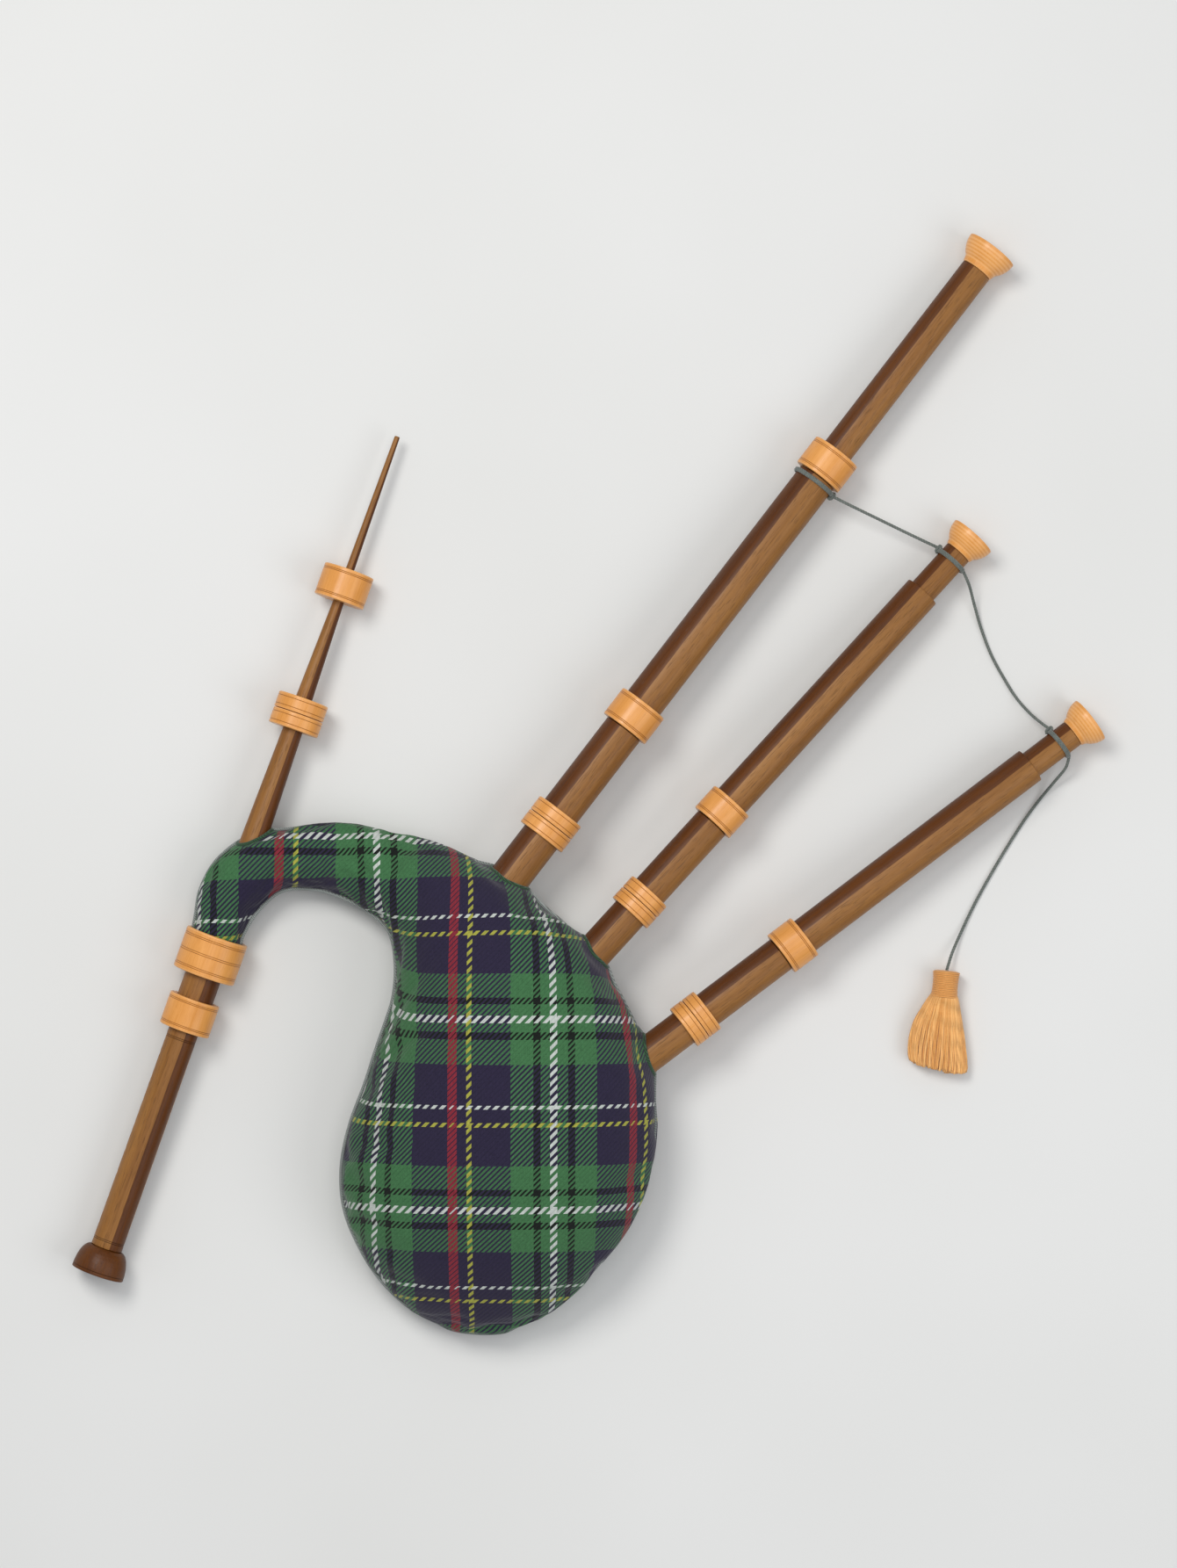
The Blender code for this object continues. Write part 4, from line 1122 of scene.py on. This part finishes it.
def add_hide(shaped):
    """The hide bag inside, as the cover's shape drawn in and ending a little short of the cover's tip."""
    around = np.roll(shaped, -1, axis=1) - np.roll(shaped, 1, axis=1)
    normals = unit(np.cross(np.gradient(shaped, axis=0), around))
    outward = shaped - shaped.mean(axis=1, keepdims=True)
    normals *= np.sign((outward * normals).sum(axis=-1, keepdims=True))
    inset = (shaped - blurred(normals, 6) * HIDE_DEPTH)[:-HIDE_RINGS_SHORT]
    mesh = make_mesh("hide", *bag_shell(inset))
    hide = add_piece("hide_bag_skin", mesh, "hide", "root", nodes=["hide_bag"])
    add_wall(hide, HIDE_WALL)


def add_piping(shaped):
    """The corded seam round the bag's edge, from the neck round the belly and back."""
    seams = shaped[3:, [0, HALF_ROUND]]
    seams = seams + unit(seams - shaped[3:].mean(axis=1, keepdims=True)) * PIPING_R * 0.7
    line = respaced(np.vstack([seams[:, 0], seams[::-1, 1]]), 0.004)
    for _ in range(2):
        line[1:-1] = line[1:-1] * 0.5 + (line[:-2] + line[2:]) * 0.25
    line[:, 2] = np.maximum(line[:, 2], PIPING_R + 0.0005)
    mesh = tube_mesh("seam_piping", rings_round(line, *carried_frames(line), PIPING_R, 10))
    add_piece("seam_piping", mesh, "piping", "root")


def add_hems(cover):
    """A rolled hem where each stock comes out of the cover: it follows the cloth round the wood."""
    bpy.context.view_layer.update()
    tree = BVHTree.FromObject(cover, bpy.context.evaluated_depsgraph_get())
    count, outside, above, below, lift = 60, 1.2, 50 * MM, 40 * MM, 0.6 * MM
    for pipe, radius in STOCK_RADII.items():
        line, reach = [], (radius + outside) * MM
        axis = Vector(matrices[pipe].col[2][:3])
        for k in range(count):
            angle = math.tau * k / count
            start = matrices[pipe] @ Vector((reach * math.cos(angle), reach * math.sin(angle), above))
            hit = tree.ray_cast(start, -axis, above + below)[0]
            if hit is not None:
                line.append(hit + axis * lift)
        line = np.array(line)
        for _ in range(3):
            line = line * 0.5 + (np.roll(line, 1, axis=0) + np.roll(line, -1, axis=0)) * 0.25
        ahead = unit(np.roll(line, -1, axis=0) - np.roll(line, 1, axis=0))
        sides = unit(np.cross(ahead, np.array(axis)))
        rings = rings_round(line, sides, np.cross(sides, ahead), HEM_R, 12)
        add_piece(f"{pipe}_hem", tube_mesh(f"{pipe}_hem", rings, closed=True), "hem", "root")


# ---- cords and tassel ----


def cord_rings(line, radius=CORD_D / 2, strands=3, pitch=CORD_PITCH, points=18):
    """Rings round a twisted cord's centreline, and how deep each point is between two strands."""
    angles = np.arange(points) * math.tau / points
    phase = angles[None] - lengths_along(line)[:, None] / pitch * math.tau
    valley = 1 - np.abs(np.cos(phase * strands / 2))
    crest, valley_depth = 1.04, 0.26  # shares of the radius
    radii = radius * (crest - valley_depth * valley)
    return rings_round(line, *carried_frames(line), radii, points), valley


def add_cord_piece(name, rings, valley, body, nodes=()):
    mesh = tube_mesh(name, rings, {"recess": valley.ravel(), "strand": np.zeros(valley.size)})
    return add_piece(name, mesh, "cord", body, nodes=nodes)


def placed_route(name, spacing=0.0009):
    line = smooth_route(CORD_ROUTES[name], spacing) + np.array(CENTRE)
    line[:, 2] = np.maximum(line[:, 2], CORD_D / 2 * 1.05)
    return line


def add_cord_half(name, line, rings, valley, moving, moving_first, loop, node):
    """Half of a span between two drones, made as one still piece in world space."""
    piece = add_cord_piece(name, rings, valley, None, [node])
    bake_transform(piece)


def add_cords(loops, tassel_pieces):
    spans = (
        ("bass_to_tenor_1", "bass_middle", "tenor_1_top", "bass", "tenor_1"),
        ("tenor_1_to_tenor_2", "tenor_1_top", "tenor_2_top", None, "tenor_2"),
    )
    for route, first_body, second_body, first_loop, second_loop in spans:
        line = placed_route(route)
        rings, valley = cord_rings(line)
        cut = len(line) // 2
        node = "cord_" + route
        for part, body, moving_first, loop in (
            (slice(0, cut + 1), first_body, True, first_loop),
            (slice(cut, None), second_body, False, second_loop),
        ):
            name = f"{node}_{'first' if moving_first else 'second'}"
            half = (line[part], rings[part], valley[part])
            add_cord_half(name, *half, body, moving_first, loops.get(loop, ()), node)

    line = placed_route("to_tassel")
    inward = np.array(tassel_matrix().col[2][:3])
    inside = line[-1] + inward * np.linspace(0, CORD_IN_TASSEL * MM, 50)[1:, None]
    line = np.vstack([line, inside])
    rings, valley = cord_rings(line)
    name = "cord_to_tassel_twist"
    piece = add_cord_piece(name, rings, valley, None, ["cord_to_tassel"])
    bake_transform(piece)


def add_cord_loop(pipe, toward):
    """Two close turns of the cord round a pipe, ending in a small knot on the side where the cord leaves."""
    station, wood_radius = CORD_LOOPS[pipe]
    local = matrices[pipe].inverted() @ Vector(toward)
    leave = math.atan2(local.y, local.x)
    turns, gap, knot_gap, knot_size = 2, 0.25, 0.9, 1.25 * MM
    radius = wood_radius + gap + CORD_D / MM / 2
    angles = np.linspace(0, turns * math.tau, 60 * turns) + leave
    climb = np.linspace(-1.55, 1.55, len(angles))
    line = np.stack([radius * np.cos(angles), radius * np.sin(angles), station + climb], axis=1) * MM
    body = "bass_middle" if pipe == "bass" else f"{pipe}_top"
    rings, valley = cord_rings(respaced(placed(line, matrices[pipe]), 0.0012))
    turned_cord = add_cord_piece(f"{pipe}_cord_turns", rings, valley, body, [f"{pipe}_cord_loop"])
    t = np.linspace(0, math.tau, 90)
    knot = [np.sin(t) + 2 * np.sin(2 * t), np.cos(t) - 2 * np.cos(2 * t), -np.sin(3 * t)]
    turn = Matrix.Rotation(leave, 3, "Z") @ Matrix.Rotation(math.pi / 2, 3, "Y")
    knot = np.stack(knot, axis=1) * knot_size @ np.array(turn).T
    out = (radius + knot_gap) * MM
    knot += np.array((out * math.cos(leave), out * math.sin(leave), station * MM))
    rings, valley = cord_rings(respaced(placed(knot, matrices[pipe]), 0.0008))
    return [turned_cord, add_cord_piece(f"{pipe}_cord_knot", rings, valley, body)]


def tassel_matrix():
    heading = Matrix.Rotation(math.radians(-TASSEL_TILT), 4, "Z")
    lie_down = Matrix.Rotation(math.radians(-90), 4, "X")
    return Matrix.Translation(TASSEL_TOP + CENTRE) @ heading @ lie_down


def skirt_size(share, angle):
    """Half width and height of the skirt at a share of its length, in one direction round it. It bulges
    early on its +X side, opens evenly on the other, and lies flattened on the table."""
    bulge = 18.2 * share**0.85
    if math.cos(angle) > 0:
        bulge = 17.8 * math.sin(min(1.0, share * 1.35) * math.pi / 2)
    corner = max(0.0, share - 0.88) / 0.12
    return 12.4 + bulge - 2.2 * corner**2, 12 + math.sin(share * math.pi) - 2.2 * share**2


def strand_line(angle, depth, jitter, rng):
    """A strand's centreline from the binding to the skirt's lower edge, in mm in the tassel's frame."""
    steps, start, side = 15, 22.0, math.cos(angle)
    end = SKIRT_END - 3.6 * side - 3.8 * side**6 * depth + jitter
    line = []
    phase, sway = rng.uniform(0, math.tau), rng.uniform(0.2, 0.8)
    for i in range(steps + 1):
        share = i / steps
        wide, high = skirt_size(share, angle)
        x = (wide - 1.2) * side * depth + sway * math.sin(phase + share * 5) * share
        up = (high - 1.2) * math.sin(angle) * depth - 1.8 * share**2
        up += sway * 0.5 * math.cos(phase + share * 4) * share
        line.append((x, -up, start + (end - start) * share))
    return np.array(line)


def add_tassel():
    """A bound head over a skirt of many twisted strands."""
    matrix = tassel_matrix()
    rng = np.random.default_rng(12)
    end = TASSEL_HEAD_LENGTH
    rows = [(0.0, 2.0, 0, 0), (0.0, 9.0, 0, 0), (0.5, 11.2, 0, 0)]
    rows += windings(1.2, end - 1.2, TASSEL_HEAD_R - 0.5, 0.55, 15, 6, waist=0.9)
    rows += [(end - 0.6, 11.0, 0, 0), (end, 9.0, 0, 0), (end, 2.0, 0, 0)]
    mesh = spun_mesh("tassel_binding", rows, 1, 64)
    head = add_piece("tassel_binding", mesh, "tassel", "root", matrix, ["tassel_head"])

    vertices, faces, valleys, shades = [], [], [], []
    for depth, count in ((1.0, 92), (0.86, 76), (0.66, 54), (0.40, 30)):
        for k in range(count):
            angle = math.tau * (k + rng.uniform(-0.25, 0.25)) / count
            line = respaced(strand_line(angle, depth, rng.uniform(-1.6, 1.6), rng), 2.2)
            shade = rng.uniform(0, 1)
            rings, valley = cord_rings(line, radius=rng.uniform(1.0, 1.25), strands=2, pitch=5.0, points=8)
            first = len(vertices)
            vertices.extend(rings.reshape(-1, 3) * MM)
            faces += [tuple(f) for f in grid_faces(len(line), 8) + first] + end_faces(len(line), 8, first)
            valleys.extend(valley.ravel())
            shades += [shade] * valley.size
    mesh = turned_out(make_mesh("tassel_strands", vertices, faces, {"recess": valleys, "strand": shades}))
    skirt = add_piece("tassel_strands", mesh, "tassel", "root", matrix, ["tassel_skirt"])
    return [head, skirt]


# ---- the instrument ----

add_camera()
add_studio()
add_floor()
materials = make_materials()
matrices = {name: pipe_matrix(name) for name in PIPES}
cord_loops = {pipe: add_cord_loop(pipe, Vector(end) + CENTRE) for pipe, end in CORD_LEAVES.items()}
add_cords(cord_loops, add_tassel())
add_turned_pieces()
cover_points, cover_cloth = add_cover()
add_hide(cover_points)
add_piping(cover_points)
add_hems(cover_cloth)
